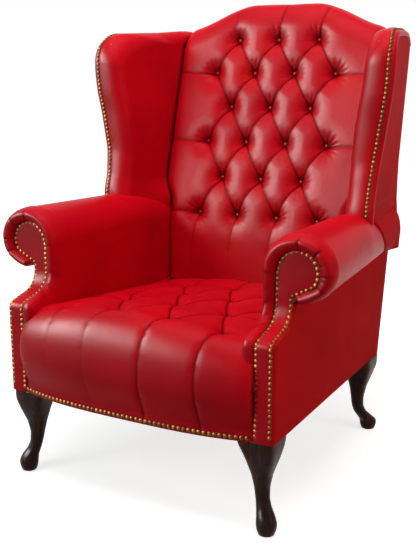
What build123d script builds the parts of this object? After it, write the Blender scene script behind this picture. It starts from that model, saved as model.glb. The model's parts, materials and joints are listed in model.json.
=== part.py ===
from build123d import *
import math
import os

# A buttoned leather wing chair on four cabriole legs, in millimetres.
# Z is up, the sitter faces -Y, and left and right are named as seen from the front.
# The origin lies on the floor, in the middle of the chair's width and depth.

# Overall sizes
overall_depth = 920
crest_height = 1133
leg_height = 214
front_half_width = 345
rear_half_width = 337
top_half_width = 332
back_lean_angle = 12.4
gap = 0.3
overrun = 60

# Leather covers and outside panels
cover_thickness = 4
wing_cover_thickness = 5

# Camel crest of the back
crest_flat_half = 88
crest_half = 300
crest_drop = 65
crest_lip = 33
crest_cover = 40
crest_roll_rise = 60

# Inside back
back_half_width = 290
back_low_half_width = 266
back_low_height = 372
back_split_drop = 143
back_waist_rise = 48
back_waist_length = 49
back_thickness = 165
back_swell_height = 545
back_swell_length = 40
back_swell_share = 0.28
back_button_depth = 27
back_button_pitch = 117.8
back_top_row_drop = 96.3
back_first_row_share = 0.133
back_row_growth_share = 0.004
back_groove_floor = 9
back_groove_half_width = 24
back_dimple_radius = 34
back_tuft_angle = 15.6
back_row_counts = [3, 4, 3, 4, 3, 4]

# Seat
seat_bulge = 45
bow_depth = 31
bow_half = 300
bow_power = 3
seat_crown_height = 448
seat_crown_back = 40
seat_fall_share = 0.1
seat_side_drop = 26
seat_roll_height = 385
seat_roll_depth = 65
apron_thickness = 14
seat_under_back = 52
seat_ear_depth = 75
seat_ear_height = 425
seat_button_depth = 20
seat_button_pitch = 135
seat_front_row_depth = 55
seat_row_pitch = 145
seat_groove_floor = 7
seat_groove_half_width = 24
seat_dimple_radius = 32
seat_row_counts = [4, 3, 4, 3]

# Arms
arm_inner = 266.3
arm_stem_thickness = 32.4
arm_stem_low = 300
arm_under_drop = 66
arm_front_depth = 80
arm_mid_depth = 400
arm_front_outer = 433
arm_mid_outer = 408
arm_rear_outer = 376
arm_front_rise = 82
arm_mid_rise = 74
arm_rear_rise = 54
arm_shoulder_share = 0.25
arm_front_middle_rise = 7
arm_rear_middle_drop = 17
arm_front_crest_x = 350
arm_rear_crest_x = 326
arm_proud = 16
arm_proud_drop = 84

# Arm facings
facing_inner = 299
facing_outer = 341
facing_shelf_drop = 130
facing_neck_depth = 96
facing_neck_drop = 105
facing_shelf_radius = 14
facing_neck_radius = 50
scroll_x = 350
scroll_height = 558
scroll_radius = 49

# Wings
wing_foot_rise = 73
wing_top_drop = 82
wing_waist_x = 371
wing_flare = 33
wing_reach = 411
wing_front_bow = 17
wing_corner_radius = 76
wing_top_rise = 20
wing_band_width = 66
wing_band_proud = 8
wing_band_round = 22
wing_lip_width = 7
wing_lip_corner = 12
wing_lip_turn = 15
wing_skirt_drop = 63
wing_skirt_forward = 9

# Hardwood frame
rail_height = 76
rail_thickness = 35
post_inner = 297
post_outer = 327
post_depth = 45
crest_rail_height = 173
stump_inner = 301
stump_outer = 338
stump_depth = 45
stump_scroll_radius = 42
arm_rail_inner = 312
arm_rail_outer = 345
arm_rail_drop = 50
arm_rail_thickness = 25
tacking_rail_low = 330
tacking_rail_high = 362
tacking_rail_width = 25
lower_back_rail_low = 330
lower_back_rail_high = 400
wing_post_width = 28
wing_post_depth = 32
wing_post_set_back = 18
wing_post_bend_share = 0.28
wing_rail_drop = 61
wing_rail_height = 35
wing_rail_thickness = 22
corner_block_leg = 70
corner_block_inset = 11
dowel_radius = 5
dowel_length = 28
dowel_rise = 20
dowel_inset = 12
bolt_radius = 4
bolt_length = 110
bolt_inset = 9.5

# Legs
leg_block = 78
front_foot_throw_x = 20
front_foot_throw_y = 17
rear_foot_throw_x = 20
rear_foot_throw_y = 30
bracket_length_front = 64
bracket_length_side = 56
bracket_drop = 40
bracket_thickness = 26
bracket_tip = 6
bracket_hollow_share = 0.35
bracket_hollow_depth_share = 0.38
glide_radius = 12
glide_thickness = 3

# Springs, webbing and button twines
spring_count = 5
spring_pitch = 105
spring_wire_radius = 1.8
spring_half_width = 24
spring_wave_count = 24
clip_inset = 4
spring_bend_share = 0.4
clip_width = 16
clip_length = 18
clip_wall = 2
hessian_thickness = 1.5
webbing_width = 50
webbing_thickness = 1.5
webbing_row_count = 5
webbing_column_pitch = 120
webbing_column_count = 5
twine_radius = 0.8
dust_cover_thickness = 1.5

# Buttons and brass nails
button_radius = 7
button_height = 5
button_rim = 1.5
nail_radius = 4.8
nail_height = 2.6
nail_rim = 0.6
nail_pitch = 11.7
wing_nail_pitch = 10.7
nail_edge = 8
nail_column_inset = 5.2
bottom_nail_count = 2

os.makedirs("parts", exist_ok=True)

front_y = seat_bulge - overall_depth / 2
lean = math.tan(math.radians(back_lean_angle))
rear_top_height = crest_height - crest_lip
frame_depth_near = cover_thickness
frame_depth_far = cover_thickness + post_depth
web_depth = frame_depth_far + 2 * webbing_thickness
pad_depth_far = frame_depth_far + webbing_thickness + gap
seat_half_width = facing_inner - gap
rail_top = leg_height + rail_height
clip_height = 2 * (clip_wall + spring_wire_radius)
hessian_low = rail_top + clip_height
seat_base = hessian_low + hessian_thickness

# Heights that follow the crest
back_split_height = crest_height - back_split_drop
back_top_row_height = crest_height - back_top_row_drop
crest_rail_low = crest_height - crest_rail_height
wing_top_height = crest_height - wing_top_drop
wing_rail_low = wing_top_height - wing_rail_drop
wing_rail_high = wing_rail_low + wing_rail_height

# Heights that follow the scroll of the arm
arm_front_top = scroll_height + arm_front_rise
arm_mid_top = scroll_height + arm_mid_rise
arm_rear_top = scroll_height + arm_rear_rise
arm_front_middle = scroll_height + arm_front_middle_rise
arm_rear_middle = scroll_height - arm_rear_middle_drop
arm_under_height = scroll_height - arm_under_drop
arm_proud_low = scroll_height - arm_proud_drop
arm_rail_low = scroll_height - arm_rail_drop
arm_rail_high = arm_rail_low + arm_rail_thickness
facing_shelf_height = scroll_height - facing_shelf_drop
facing_neck_height = scroll_height - facing_neck_drop
wing_foot_height = scroll_height + wing_foot_rise
wing_skirt_height = scroll_height - wing_skirt_drop
back_waist_low = scroll_height + back_waist_rise
back_waist_high = back_waist_low + back_waist_length


def rear_y(height):
    """Y of the outside back, a flat plane that leans backwards."""
    return overall_depth / 2 - (rear_top_height - height) * lean


# Depths that follow the outside back
lumbar_y = rear_y(back_swell_height) - back_thickness
seat_rear_y = lumbar_y + seat_under_back
wing_front_y = rear_y(rear_top_height) - wing_reach
wing_skirt_y = wing_front_y - wing_skirt_forward
rear_leg_y = rear_y(leg_height) - leg_block / 2


def side_x(depth):
    """Half width of the lower body, which narrows towards the rear."""
    share = depth / (rear_y(leg_height) - front_y)
    return front_half_width + share * (rear_half_width - front_half_width)


def crest_z(x):
    """Height of the camel crest: level in the middle, then an S curve down to the wings."""
    share = (abs(x) - crest_flat_half) / (crest_half - crest_flat_half)
    share = min(max(share, 0), 1)
    return crest_height - crest_drop * share * share * (3 - 2 * share)


def pillow_y(height):
    """Y of the inside back: upright at the loins, then a steady lean, blended by a soft bend."""
    bend = math.exp((height - back_swell_height) / back_swell_length)
    return lumbar_y + back_swell_share * back_swell_length * math.log(1 + bend)


def bow_y(x):
    """Y of the lower front edge of the seat, a bow between the arm posts."""
    share = min(abs(x) / bow_half, 1)
    return front_y - bow_depth * (1 - share**bow_power)


def seat_z(x, y):
    """Height of the stuffed seat: crowned across, falling towards the back."""
    fall = seat_fall_share * (y - front_y - seat_crown_back)
    return seat_crown_height - fall - seat_side_drop * (x / arm_inner) ** 2


def prism_x(outline, x_low, x_high, mode=Mode.ADD):
    """A side view outline of (y, z) points, carried from x_low to x_high."""
    with BuildSketch(Plane.YZ.offset(x_low)) as face:
        with BuildLine():
            Polyline(*outline, close=True)
        make_face()
    extrude(face.sketch, amount=x_high - x_low, mode=mode)


def prism_y(outline, y_low, y_high, mode=Mode.ADD):
    """A front view outline of (x, z) points, carried from y_low to y_high."""
    with BuildSketch(Plane.XZ.offset(-y_low)) as face:
        with BuildLine():
            Polyline(*outline, close=True)
        make_face()
    extrude(face.sketch, amount=y_low - y_high, mode=mode)


def prism_z(outline, z_low, z_high, mode=Mode.ADD):
    """A plan outline of (x, y) points, carried from z_low to z_high."""
    with BuildSketch(Plane.XY.offset(z_low)) as face:
        with BuildLine():
            Polyline(*outline, close=True)
        make_face()
    extrude(face.sketch, amount=z_high - z_low, mode=mode)


def leaning_slab(near, far, low, high):
    """Side view of a slab parallel to the outside back, near and far in front of it."""
    return [
        (rear_y(low) - far, low),
        (rear_y(low) - near, low),
        (rear_y(high) - near, high),
        (rear_y(high) - far, high),
    ]


def rectangle(low_1, high_1, low_2, high_2):
    """The four corners of an upright rectangle."""
    return [(low_1, low_2), (high_1, low_2), (high_1, high_2), (low_1, high_2)]


def dome(radius, rim, height):
    """A domed head, a short rim with a ball cap on it, that stands on the XY plane."""
    cap = height - rim
    ball = (radius**2 + cap**2) / (2 * cap)
    shoulder_z = height - ball + math.sqrt(ball**2 - (radius / 2) ** 2)
    with BuildPart() as head:
        with BuildSketch(Plane.XZ):
            with BuildLine():
                Polyline((0, height), (0, 0), (radius, 0), (radius, rim))
                ThreePointArc((radius, rim), (radius / 2, shoulder_z), (0, height))
            make_face()
        revolve(axis=Axis.Z)
    return head.part


def placed(piece, planes):
    """Copies of a piece, one standing on each plane."""
    return [piece.moved(plane.location) for plane in planes]


def finish(piece, name):
    """Name a piece and write its STEP file."""
    piece.part.label = name
    export_step(piece.part, "parts/" + name + ".step")


def finish_pair(piece, name):
    """Write a right hand piece, and its mirror image as the left hand one."""
    with BuildPart() as twin:
        mirror(piece.part, about=Plane.YZ)
    finish(piece, "right_" + name)
    finish(twin, "left_" + name)


# Front seat rail, bowed to carry the seat front
with BuildPart() as front_seat_rail:
    rail_rear = front_y + stump_depth + cover_thickness
    with BuildSketch(Plane.XY.offset(leg_height)):
        with BuildLine():
            stations = [share * stump_inner for share in (1, 0.75, 0.4, 0, -0.4, -0.75, -1)]
            Spline(*[(x, bow_y(x) + apron_thickness) for x in stations])
            end_y = bow_y(stump_inner) + apron_thickness
            Polyline((-stump_inner, end_y), (-stump_inner, rail_rear), (stump_inner, rail_rear),
                     (stump_inner, end_y))
        make_face()
    extrude(amount=rail_height)

# Back posts, crest rail and the two back rails, all in the leaning plane of the back
with BuildPart() as back_post:
    post_side = leaning_slab(frame_depth_near, frame_depth_far, leg_height, crest_rail_low)
    prism_x(post_side, post_inner, post_outer)


# Stations across half of the back, closer together where the crest bends
back_half_shares = (0.3, 0.42, 0.54, 0.66, 0.78, 0.9, 1)


def crest_board(drop, low, low_half, high_half):
    """Front view of a board under the camel crest, as a sketch on the XZ plane."""
    with BuildSketch(Plane.XZ.offset(-overall_depth)) as board:
        with BuildLine():
            stations = [0] + [share * back_half_width for share in back_half_shares]
            right = [(x, crest_z(x) - drop) for x in stations + [crest_half, high_half]]
            left = [(-x, z) for x, z in reversed(right[1:])]
            Polyline(*left, *right, (low_half, low), (-low_half, low), close=True)
        make_face()
    return board.sketch


crest_rail_face = crest_board(crest_cover, crest_rail_low, post_outer, post_outer)
with BuildPart() as crest_rail:
    extrude(crest_rail_face, amount=2 * overall_depth)
    slab = leaning_slab(frame_depth_near, frame_depth_far, crest_rail_low - overrun,
                        crest_height + overrun)
    prism_x(slab, -front_half_width, front_half_width, mode=Mode.INTERSECT)

with BuildPart() as back_seat_rail:
    prism_x(leaning_slab(frame_depth_near, frame_depth_far, leg_height, rail_top),
            -post_inner, post_inner)

with BuildPart() as lower_back_rail:
    prism_x(leaning_slab(frame_depth_near, frame_depth_far, lower_back_rail_low,
                         lower_back_rail_high), -post_inner, post_inner)

# Outside back, a leather covered panel that closes the rear from the seat to the crest
outside_back_face = crest_board(crest_cover, leg_height, rear_half_width, top_half_width)
with BuildPart() as outside_back_panel:
    extrude(outside_back_face, amount=2 * overall_depth)
    slab = leaning_slab(0, cover_thickness, leg_height - overrun, crest_height + overrun)
    prism_x(slab, -front_half_width, front_half_width, mode=Mode.INTERSECT)

# Side seat rails and tacking rails, between the arm stump and the back post
rail_front_y = front_y + cover_thickness + stump_depth
with BuildPart() as side_seat_rail:
    reach = overall_depth
    prism_z([(stump_inner, rail_front_y),
             (side_x(rail_front_y - front_y) - cover_thickness, rail_front_y),
             (side_x(reach) - cover_thickness, front_y + reach),
             (stump_inner, front_y + reach)], leg_height, rail_top)
    keep = [(rail_front_y, leg_height), (rear_y(leg_height) - frame_depth_far, leg_height),
            (rear_y(rail_top) - frame_depth_far, rail_top), (rail_front_y, rail_top)]
    prism_x(keep, post_inner, front_half_width, mode=Mode.INTERSECT)

with BuildPart() as arm_tacking_rail:
    keep = [(rail_front_y, tacking_rail_low),
            (rear_y(tacking_rail_low) - frame_depth_far, tacking_rail_low),
            (rear_y(tacking_rail_high) - frame_depth_far, tacking_rail_high),
            (rail_front_y, tacking_rail_high)]
    prism_x(keep, stump_inner, stump_inner + tacking_rail_width)

# Corner blocks glued into the four inner corners of the seat frame
corner_block_low = leg_height + corner_block_inset
corner_block_high = rail_top - corner_block_inset
rear_corner_y = rear_y(corner_block_low) - frame_depth_far
with BuildPart() as corner_blocks:
    for side in (-1, 1):
        front_corner = (side * stump_inner, rail_rear)
        prism_z([front_corner, (side * (stump_inner - corner_block_leg), rail_rear),
                 (side * stump_inner, rail_rear + corner_block_leg)],
                corner_block_low, corner_block_high)
        prism_z([(side * post_inner, rear_corner_y),
                 (side * (post_inner - corner_block_leg), rear_corner_y),
                 (side * post_inner, rear_corner_y - corner_block_leg)],
                corner_block_low, corner_block_high)


def facing_path(inset):
    """Side view points and radii of the front of the arm: up the post, back over a shelf,
    then up the scroll. Inset moves it into the arm."""
    points = [(front_y + inset, leg_height - overrun),
              (front_y + inset, facing_shelf_height - inset),
              (front_y + facing_neck_depth + inset, facing_neck_height - inset),
              (front_y + facing_neck_depth + inset, crest_height)]
    radii = [max(facing_shelf_radius - inset, gap), facing_neck_radius + inset]
    return points, radii


def behind_facing(inset, x_low, x_high, mode=Mode.INTERSECT):
    """Keep only what lies behind the swept front of the arm, moved in by inset."""
    points, radii = facing_path(inset)
    with BuildSketch(Plane.YZ.offset(x_low)) as face:
        with BuildLine():
            FilletPolyline(*points, radius=radii)
            Polyline(points[-1], (overall_depth, crest_height), (overall_depth, points[0][1]),
                     points[0])
        make_face()
    extrude(face.sketch, amount=x_high - x_low, mode=mode)


def facing_front(post_low, post_high, radius):
    """Front view of a facing: the narrow post with the round scroll on top."""
    with BuildSketch(Plane.XZ.offset(overall_depth)) as front:
        with BuildLine():
            Polyline(*rectangle(post_low, post_high, leg_height, scroll_height), close=True)
        make_face()
        with Locations((scroll_x, scroll_height)):
            Circle(radius)
    return front.sketch


stump_front = facing_front(stump_inner, stump_outer, stump_scroll_radius)
facing_face = facing_front(facing_inner, facing_outer, scroll_radius)
pocket_face = facing_front(facing_inner - gap, facing_outer + gap, scroll_radius + gap)
scroll_reach = scroll_x + scroll_radius + overrun

# Arm stump: the upright board behind the facing, with the round scroll end
with BuildPart() as arm_stump:
    extrude(stump_front, amount=-2 * overall_depth)
    behind_facing(cover_thickness, 0, scroll_reach)
    behind_facing(cover_thickness + stump_depth, 0, scroll_reach, mode=Mode.SUBTRACT)

# Arm facing: the leather covered front of the arm, post and scroll in one
with BuildPart() as arm_facing:
    extrude(facing_face, amount=-2 * overall_depth)
    behind_facing(0, 0, scroll_reach)
    behind_facing(cover_thickness, 0, scroll_reach, mode=Mode.SUBTRACT)

# The space that the facing and the stump take out of the padded arm
with BuildPart() as arm_pocket:
    extrude(pocket_face, amount=-2 * overall_depth)
    behind_facing(cover_thickness + stump_depth + gap, 0, scroll_reach, mode=Mode.SUBTRACT)

# Arm rail, from the scroll board back to the back post
arm_rail_front_y = front_y + facing_neck_depth + cover_thickness + stump_depth
with BuildPart() as arm_rail:
    keep = [(arm_rail_front_y, arm_rail_low), (rear_y(arm_rail_low) - frame_depth_far, arm_rail_low),
            (rear_y(arm_rail_high) - frame_depth_far, arm_rail_high),
            (arm_rail_front_y, arm_rail_high)]
    prism_x(keep, arm_rail_inner, arm_rail_outer)

# Stations of the padded arm, from its front to the back post
arm_rear_depth = rear_y(arm_under_height) - pad_depth_far - front_y
arm_stations = [
    (-arm_proud, arm_front_outer, arm_front_top, arm_front_middle, arm_front_crest_x),
    (arm_front_depth, arm_front_outer, arm_front_top, arm_front_middle, arm_front_crest_x),
    (arm_mid_depth, arm_mid_outer, arm_mid_top, arm_front_middle, arm_front_crest_x),
    (arm_rear_depth, arm_rear_outer, arm_rear_top, arm_rear_middle, arm_rear_crest_x),
]


def arm_station(depth):
    """Outer x, top, middle and crest x of the arm roll at a depth, between two stations."""
    for near, far in zip(arm_stations[:-1], arm_stations[1:]):
        if depth <= far[0] or far is arm_stations[-1]:
            share = (depth - near[0]) / (far[0] - near[0])
            return [a + share * (b - a) for a, b in zip(near[1:], far[1:])]


def arm_face(depth, grow):
    """Front view of the padded arm: an upright pad with the roll curling out over it."""
    outer, top, middle, crest_x = arm_station(depth)
    outer += grow
    top += grow
    under = arm_under_height - grow
    bend = math.sqrt(0.5)
    stem_top = middle + arm_shoulder_share * (top - middle)
    stem_back = arm_inner + arm_stem_thickness
    with BuildSketch(Plane.XZ.offset(-(front_y + depth))) as face:
        with BuildLine():
            Polyline((crest_x, under), (stem_back, under), (stem_back, arm_stem_low),
                     (arm_inner - grow, arm_stem_low), (arm_inner - grow, stem_top))
            ThreePointArc((arm_inner - grow, stem_top),
                          (crest_x - bend * (crest_x - arm_inner), stem_top + bend * (top - stem_top)),
                          (crest_x, top))
            ThreePointArc((crest_x, top),
                          (crest_x + bend * (outer - crest_x), middle + bend * (top - middle)),
                          (outer, middle))
            ThreePointArc((outer, middle),
                          (crest_x + bend * (outer - crest_x), middle - bend * (middle - under)),
                          (crest_x, under))
        make_face()
    return face.sketch


def arm_body(grow):
    """The whole padded arm before its front is shaped, grown outwards by grow."""
    faces = [arm_face(station[0], grow) for station in arm_stations]
    with BuildPart() as body:
        for near, far in zip(faces[:-1], faces[1:]):
            loft([near, far], ruled=True)
    return body.part


# Height share, flare share and front bow share of the wing at each level
wing_shares = [
    (0.02, 0.03, -1),
    (0.12, 0, -0.24),
    (0.28, 0.15, 0.47),
    (0.52, 0.6, 0.35),
    (0.64, 0.85, 0.06),
    (0.76, 1, 0),
    (0.88, 1, 0),
    (1.15, 0.9, 0),
]


def wing_levels():
    """Height, nail line x and nail line y of the wing at each level."""
    rise = wing_top_height - wing_foot_height
    levels = []
    for height_share, flare_share, bow_share in wing_shares:
        levels.append((wing_foot_height + height_share * rise,
                       wing_waist_x + flare_share * wing_flare,
                       wing_front_y + bow_share * wing_front_bow))
    return levels


def roll_x(depth, height):
    """Outer x of the arm roll at a depth and a height."""
    outer, top, middle, crest_x = arm_station(depth)
    half = top - middle if height > middle else middle - arm_under_height
    share = min(abs(height - middle) / half, 1)
    return crest_x + (outer - crest_x) * math.sqrt(1 - share * share)


def cover_rear_x(height):
    """Half width of the outside back at a height."""
    share = (height - leg_height) / (crest_z(top_half_width) - crest_lip - leg_height)
    return rear_half_width + share * (top_half_width - rear_half_width)


def wing_cover_stations():
    """Height, front x, front y and rear x of the outside wing cover, from its skirt up."""
    stations = []
    rear_depth = arm_rear_depth
    skirt_rise = wing_foot_height - wing_skirt_height
    for share in (0, 0.25, 0.5, 0.75):
        height = wing_skirt_height + share * skirt_rise
        front_x = roll_x(wing_skirt_y - front_y, height) - wing_lip_corner + wing_cover_thickness
        rear_x = max(roll_x(rear_depth, height), cover_rear_x(height))
        stations.append((height, front_x, wing_skirt_y - wing_lip_turn, rear_x))
    for height, nail_x, nail_y in wing_levels():
        stations.append((height, nail_x, nail_y, cover_rear_x(height)))
    return stations


def wing_cover_body(inward, outward, forward):
    """Outside wing cover, from its lip at the nails round the edge and back to the rear."""
    sketches = []
    for height, front_x, lip_y, rear_x in wing_cover_stations():
        end_y = rear_y(height) - cover_thickness - gap
        outer = [(front_x - wing_lip_width, lip_y - forward),
                 (front_x + wing_lip_width / 2 + outward, lip_y - forward),
                 (front_x + wing_lip_corner + outward, lip_y + wing_lip_turn),
                 (rear_x + outward, end_y)]
        inner = [(rear_x - inward, end_y),
                 (front_x + wing_lip_corner - inward, lip_y + wing_lip_turn + inward / 2),
                 (front_x, lip_y + inward),
                 (front_x - wing_lip_width, lip_y + inward)]
        with BuildSketch(Plane.XY.offset(height)) as ring:
            with BuildLine():
                Polyline(*outer, *inner, close=True)
            make_face()
        sketches.append(ring.sketch)
    with BuildPart() as body:
        loft(sketches, ruled=True)
    return body.part


wing_arc_y = wing_front_y + wing_corner_radius
wing_arc_z = wing_top_height - wing_corner_radius


def under_wing_top(proud, x_low, x_high):
    """Keep what lies under the wing's top edge: a round front corner, then a slow rise."""
    radius = wing_corner_radius
    bend = math.sqrt(0.5)
    far_y = overall_depth
    rise = wing_top_rise * (far_y - wing_arc_y) / (overall_depth / 2 - wing_arc_y)
    with BuildSketch(Plane.YZ.offset(x_low)) as face:
        with BuildLine():
            ThreePointArc((wing_arc_y - radius - proud, wing_arc_z),
                          (wing_arc_y - (radius + proud) * bend, wing_arc_z + radius * bend),
                          (wing_arc_y, wing_top_height))
            Polyline((wing_arc_y, wing_top_height), (far_y, wing_top_height + rise),
                     (far_y, leg_height), (front_y, leg_height), (front_y, wing_arc_z),
                     (wing_arc_y - radius - proud, wing_arc_z))
        make_face()
    extrude(face.sketch, amount=x_high - x_low, mode=Mode.INTERSECT)


# Outside wing cover
wing_cover_blank = wing_cover_body(wing_cover_thickness, 0, 0)
with BuildPart() as outside_wing_panel:
    add(wing_cover_blank)
    under_wing_top(0, 0, scroll_reach)

# Outside arm panel, flat, under the arm roll
with BuildPart() as outside_arm_panel:
    reach = overall_depth
    prism_z([(side_x(0) - cover_thickness, front_y), (side_x(0), front_y),
             (side_x(reach), front_y + reach), (side_x(reach) - cover_thickness, front_y + reach)],
            leg_height, arm_under_height - gap)
    behind_facing(0, 0, scroll_reach)
    keep = [(front_y - overrun, leg_height), (rear_y(leg_height) - cover_thickness, leg_height),
            (rear_y(arm_under_height) - cover_thickness, arm_under_height),
            (front_y - overrun, arm_under_height)]
    prism_x(keep, 0, scroll_reach, mode=Mode.INTERSECT)

# Wing post, which follows the flare of the wing, and the wing rail along its top
with BuildPart() as wing_post:
    wing_rise = wing_top_height - wing_foot_height
    bend_height = wing_foot_height + wing_post_bend_share * wing_rise
    for height in (arm_rail_high, bend_height, wing_rail_low):
        share = max(height - wing_foot_height, 0) / wing_rise
        outer_x = wing_waist_x + wing_flare * share**2 - wing_cover_thickness - wing_lip_width
        near_y = wing_front_y + wing_post_set_back
        with BuildSketch(Plane.XY.offset(height)):
            with BuildLine():
                Polyline(*rectangle(outer_x - wing_post_width, outer_x, near_y,
                                    near_y + wing_post_depth), close=True)
            make_face()
    loft(ruled=True)

with BuildPart() as wing_rail:
    rail_front_x = wing_waist_x + wing_flare - wing_cover_thickness - wing_lip_width
    rail_start_y = wing_front_y + wing_post_set_back
    rail_end_y = rear_y(wing_rail_low) - frame_depth_far
    rail_rear_x = post_outer - gap
    prism_z([(rail_front_x - wing_rail_thickness, rail_start_y), (rail_front_x, rail_start_y),
             (rail_rear_x, rail_end_y), (rail_rear_x - wing_rail_thickness, rail_end_y)],
            wing_rail_low, wing_rail_high)

# Padded arm: the leather is stuffed over the rail, and its roll stands proud round the scroll
with BuildPart() as stem_front:
    prism_x(rectangle(front_y - overrun, front_y + facing_neck_depth + facing_neck_radius,
                      arm_stem_low - overrun, arm_proud_low), 0, scroll_reach)
    behind_facing(0, 0, scroll_reach, mode=Mode.SUBTRACT)
arm_blank = arm_body(0)
arm_cover_room = wing_cover_body(wing_cover_thickness + gap, overrun, gap)
with BuildPart() as arm_pad:
    add(arm_blank)
    behind_facing(-arm_proud, 0, scroll_reach)
    prism_x(rectangle(front_y - overrun, front_y + seat_ear_depth + gap, arm_stem_low - overrun,
                      seat_ear_height + gap), 0, scroll_reach, mode=Mode.SUBTRACT)
    prism_x(leaning_slab(-overrun, pad_depth_far, arm_stem_low - overrun, crest_height), 0,
            scroll_reach, mode=Mode.SUBTRACT)
    add(stem_front.part, mode=Mode.SUBTRACT)
    add(arm_pocket.part, mode=Mode.SUBTRACT)
    add(arm_rail.part, mode=Mode.SUBTRACT)
    add(arm_cover_room, mode=Mode.SUBTRACT)
    add(wing_post.part, mode=Mode.SUBTRACT)

# Padded wing: the inside of the wing and its rolled front band
arm_room = arm_body(gap)
wing_rings = []
band_chamfer = wing_band_round * (1 - math.sqrt(0.5))
for height, nail_x, nail_y in wing_levels():
    level = min(height, wing_top_height)
    inner_x = nail_x - wing_band_width
    join_y = min(pillow_y(level) + back_button_depth, rear_y(level) - frame_depth_far - 2 * overrun)
    end_y = rear_y(height) - pad_depth_far
    end_x = cover_rear_x(height) - wing_cover_thickness - gap
    skin = wing_cover_thickness + gap
    with BuildSketch(Plane.XY.offset(height)) as ring:
        with BuildLine():
            Polyline((back_half_width + gap, end_y), (back_half_width + gap, join_y),
                     (inner_x, nail_y - wing_band_proud + wing_band_round),
                     (inner_x + band_chamfer, nail_y - wing_band_proud + band_chamfer),
                     (inner_x + wing_band_round, nail_y - wing_band_proud),
                     (nail_x - wing_lip_corner, nail_y - wing_band_proud),
                     (nail_x - wing_lip_width - gap, nail_y),
                     (nail_x - wing_lip_width - gap, nail_y + skin),
                     (nail_x - gap, nail_y + skin),
                     (nail_x + wing_lip_corner - skin, nail_y + wing_lip_turn + skin / 2),
                     (end_x, end_y), close=True)
        make_face()
    wing_rings.append(ring.sketch)
with BuildPart() as wing_pad:
    loft(wing_rings, ruled=True)
    cap_low = crest_z(post_outer) - crest_cover + gap
    prism_x(leaning_slab(0, frame_depth_far + wing_post_depth, cap_low, crest_height),
            back_half_width + gap, cover_rear_x(wing_top_height) - wing_cover_thickness - gap)
    under_wing_top(wing_band_proud, 0, scroll_reach)
    add(arm_room, mode=Mode.SUBTRACT)
    add(wing_post.part, mode=Mode.SUBTRACT)
    add(wing_rail.part, mode=Mode.SUBTRACT)


def groove(start, end, up, floor, half_width, height):
    """A V shaped cutter from start to end, floor above that line, opening towards up."""
    run = Vector(*end) - Vector(*start)
    across = Vector(*up).cross(run)
    with BuildPart() as cutter:
        with BuildSketch(Plane(origin=start, x_dir=across, z_dir=run)):
            with BuildLine():
                Polyline((0, floor), (half_width, height), (-half_width, height), close=True)
            make_face()
        extrude(amount=run.length)
    return cutter.part


def dimple(plane, radius, height, bore):
    """A cone shaped cutter with a flat floor for the button and a bore for its twine."""
    with BuildPart() as cutter:
        with BuildSketch(Plane.XZ):
            with BuildLine():
                Polyline((0, -bore), (twine_radius + gap, -bore), (twine_radius + gap, 0),
                         (button_radius + gap, 0), (button_radius + 2 * gap, button_rim),
                         (radius, height), (0, height), close=True)
            make_face()
        revolve(axis=Axis.Z)
    return cutter.part.moved(plane.location)


# Button rows of the inside back: x and height of each, from the top row down
back_buttons_xz = []
row_height = back_top_row_height
row_room = back_top_row_height - back_low_height
row_drop = back_first_row_share * row_room
for count in back_row_counts:
    row = []
    for index in range(count):
        row.append(((index - (count - 1) / 2) * back_button_pitch, row_height))
    back_buttons_xz.append(row)
    row_height -= row_drop
    row_drop += back_row_growth_share * row_room

tuft_lean = math.radians(back_tuft_angle)
back_up = (0, -math.cos(tuft_lean), math.sin(tuft_lean))


def back_floor(x, height):
    """The point on the button floor of the inside back."""
    return (x, pillow_y(height) + back_button_depth, height)


def back_groove(start, end):
    """A pleat of the inside back between two (x, height) points."""
    return groove(back_floor(*start), back_floor(*end), back_up, back_groove_floor,
                  back_groove_half_width, 2 * back_button_depth)


back_cutters = []
back_planes = []
for row in back_buttons_xz:
    for x, height in row:
        plane = Plane(origin=back_floor(x, height), x_dir=(1, 0, 0), z_dir=back_up)
        back_planes.append(plane)
        back_cutters.append(dimple(plane, back_dimple_radius, back_button_depth + button_height,
                                   overall_depth / 2))
for upper, lower in zip(back_buttons_xz[:-1], back_buttons_xz[1:]):
    for x, height in upper:
        for low_x, low_height in lower:
            if abs(low_x - x) < back_button_pitch:
                back_cutters.append(back_groove((x, height), (low_x, low_height)))
for row in back_buttons_xz[1::2]:
    for x, height in (row[0], row[-1]):
        side = math.copysign(1, x)
        back_cutters.append(back_groove((x, height), (side * (back_half_width + overrun), height)))
for x, height in back_buttons_xz[0]:
    back_cutters.append(back_groove((x, height), (x, crest_height + overrun)))
for x, height in back_buttons_xz[-1]:
    back_cutters.append(back_groove((x, height), (x, back_low_height - overrun)))


def back_section(x):
    """Side view of the top of the stuffed back at x, which rolls over the crest rail."""
    top = crest_z(x)
    rail_z = top - crest_cover
    roll_start = top - crest_roll_rise
    roll_end = top - crest_lip
    low = back_split_height
    crown_y = (pillow_y(roll_start) + rear_y(roll_end)) / 2
    with BuildSketch(Plane.YZ.offset(x)) as section:
        with BuildLine():
            Line((pillow_y(low), low), (pillow_y(roll_start), roll_start))
            ThreePointArc((pillow_y(roll_start), roll_start), (crown_y, top),
                          (rear_y(roll_end), roll_end))
            Polyline((rear_y(roll_end), roll_end), (rear_y(rail_z), rail_z),
                     (rear_y(rail_z) - web_depth, rail_z), (rear_y(low) - web_depth, low),
                     (pillow_y(low), low))
        make_face()
    return section.sketch


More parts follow.
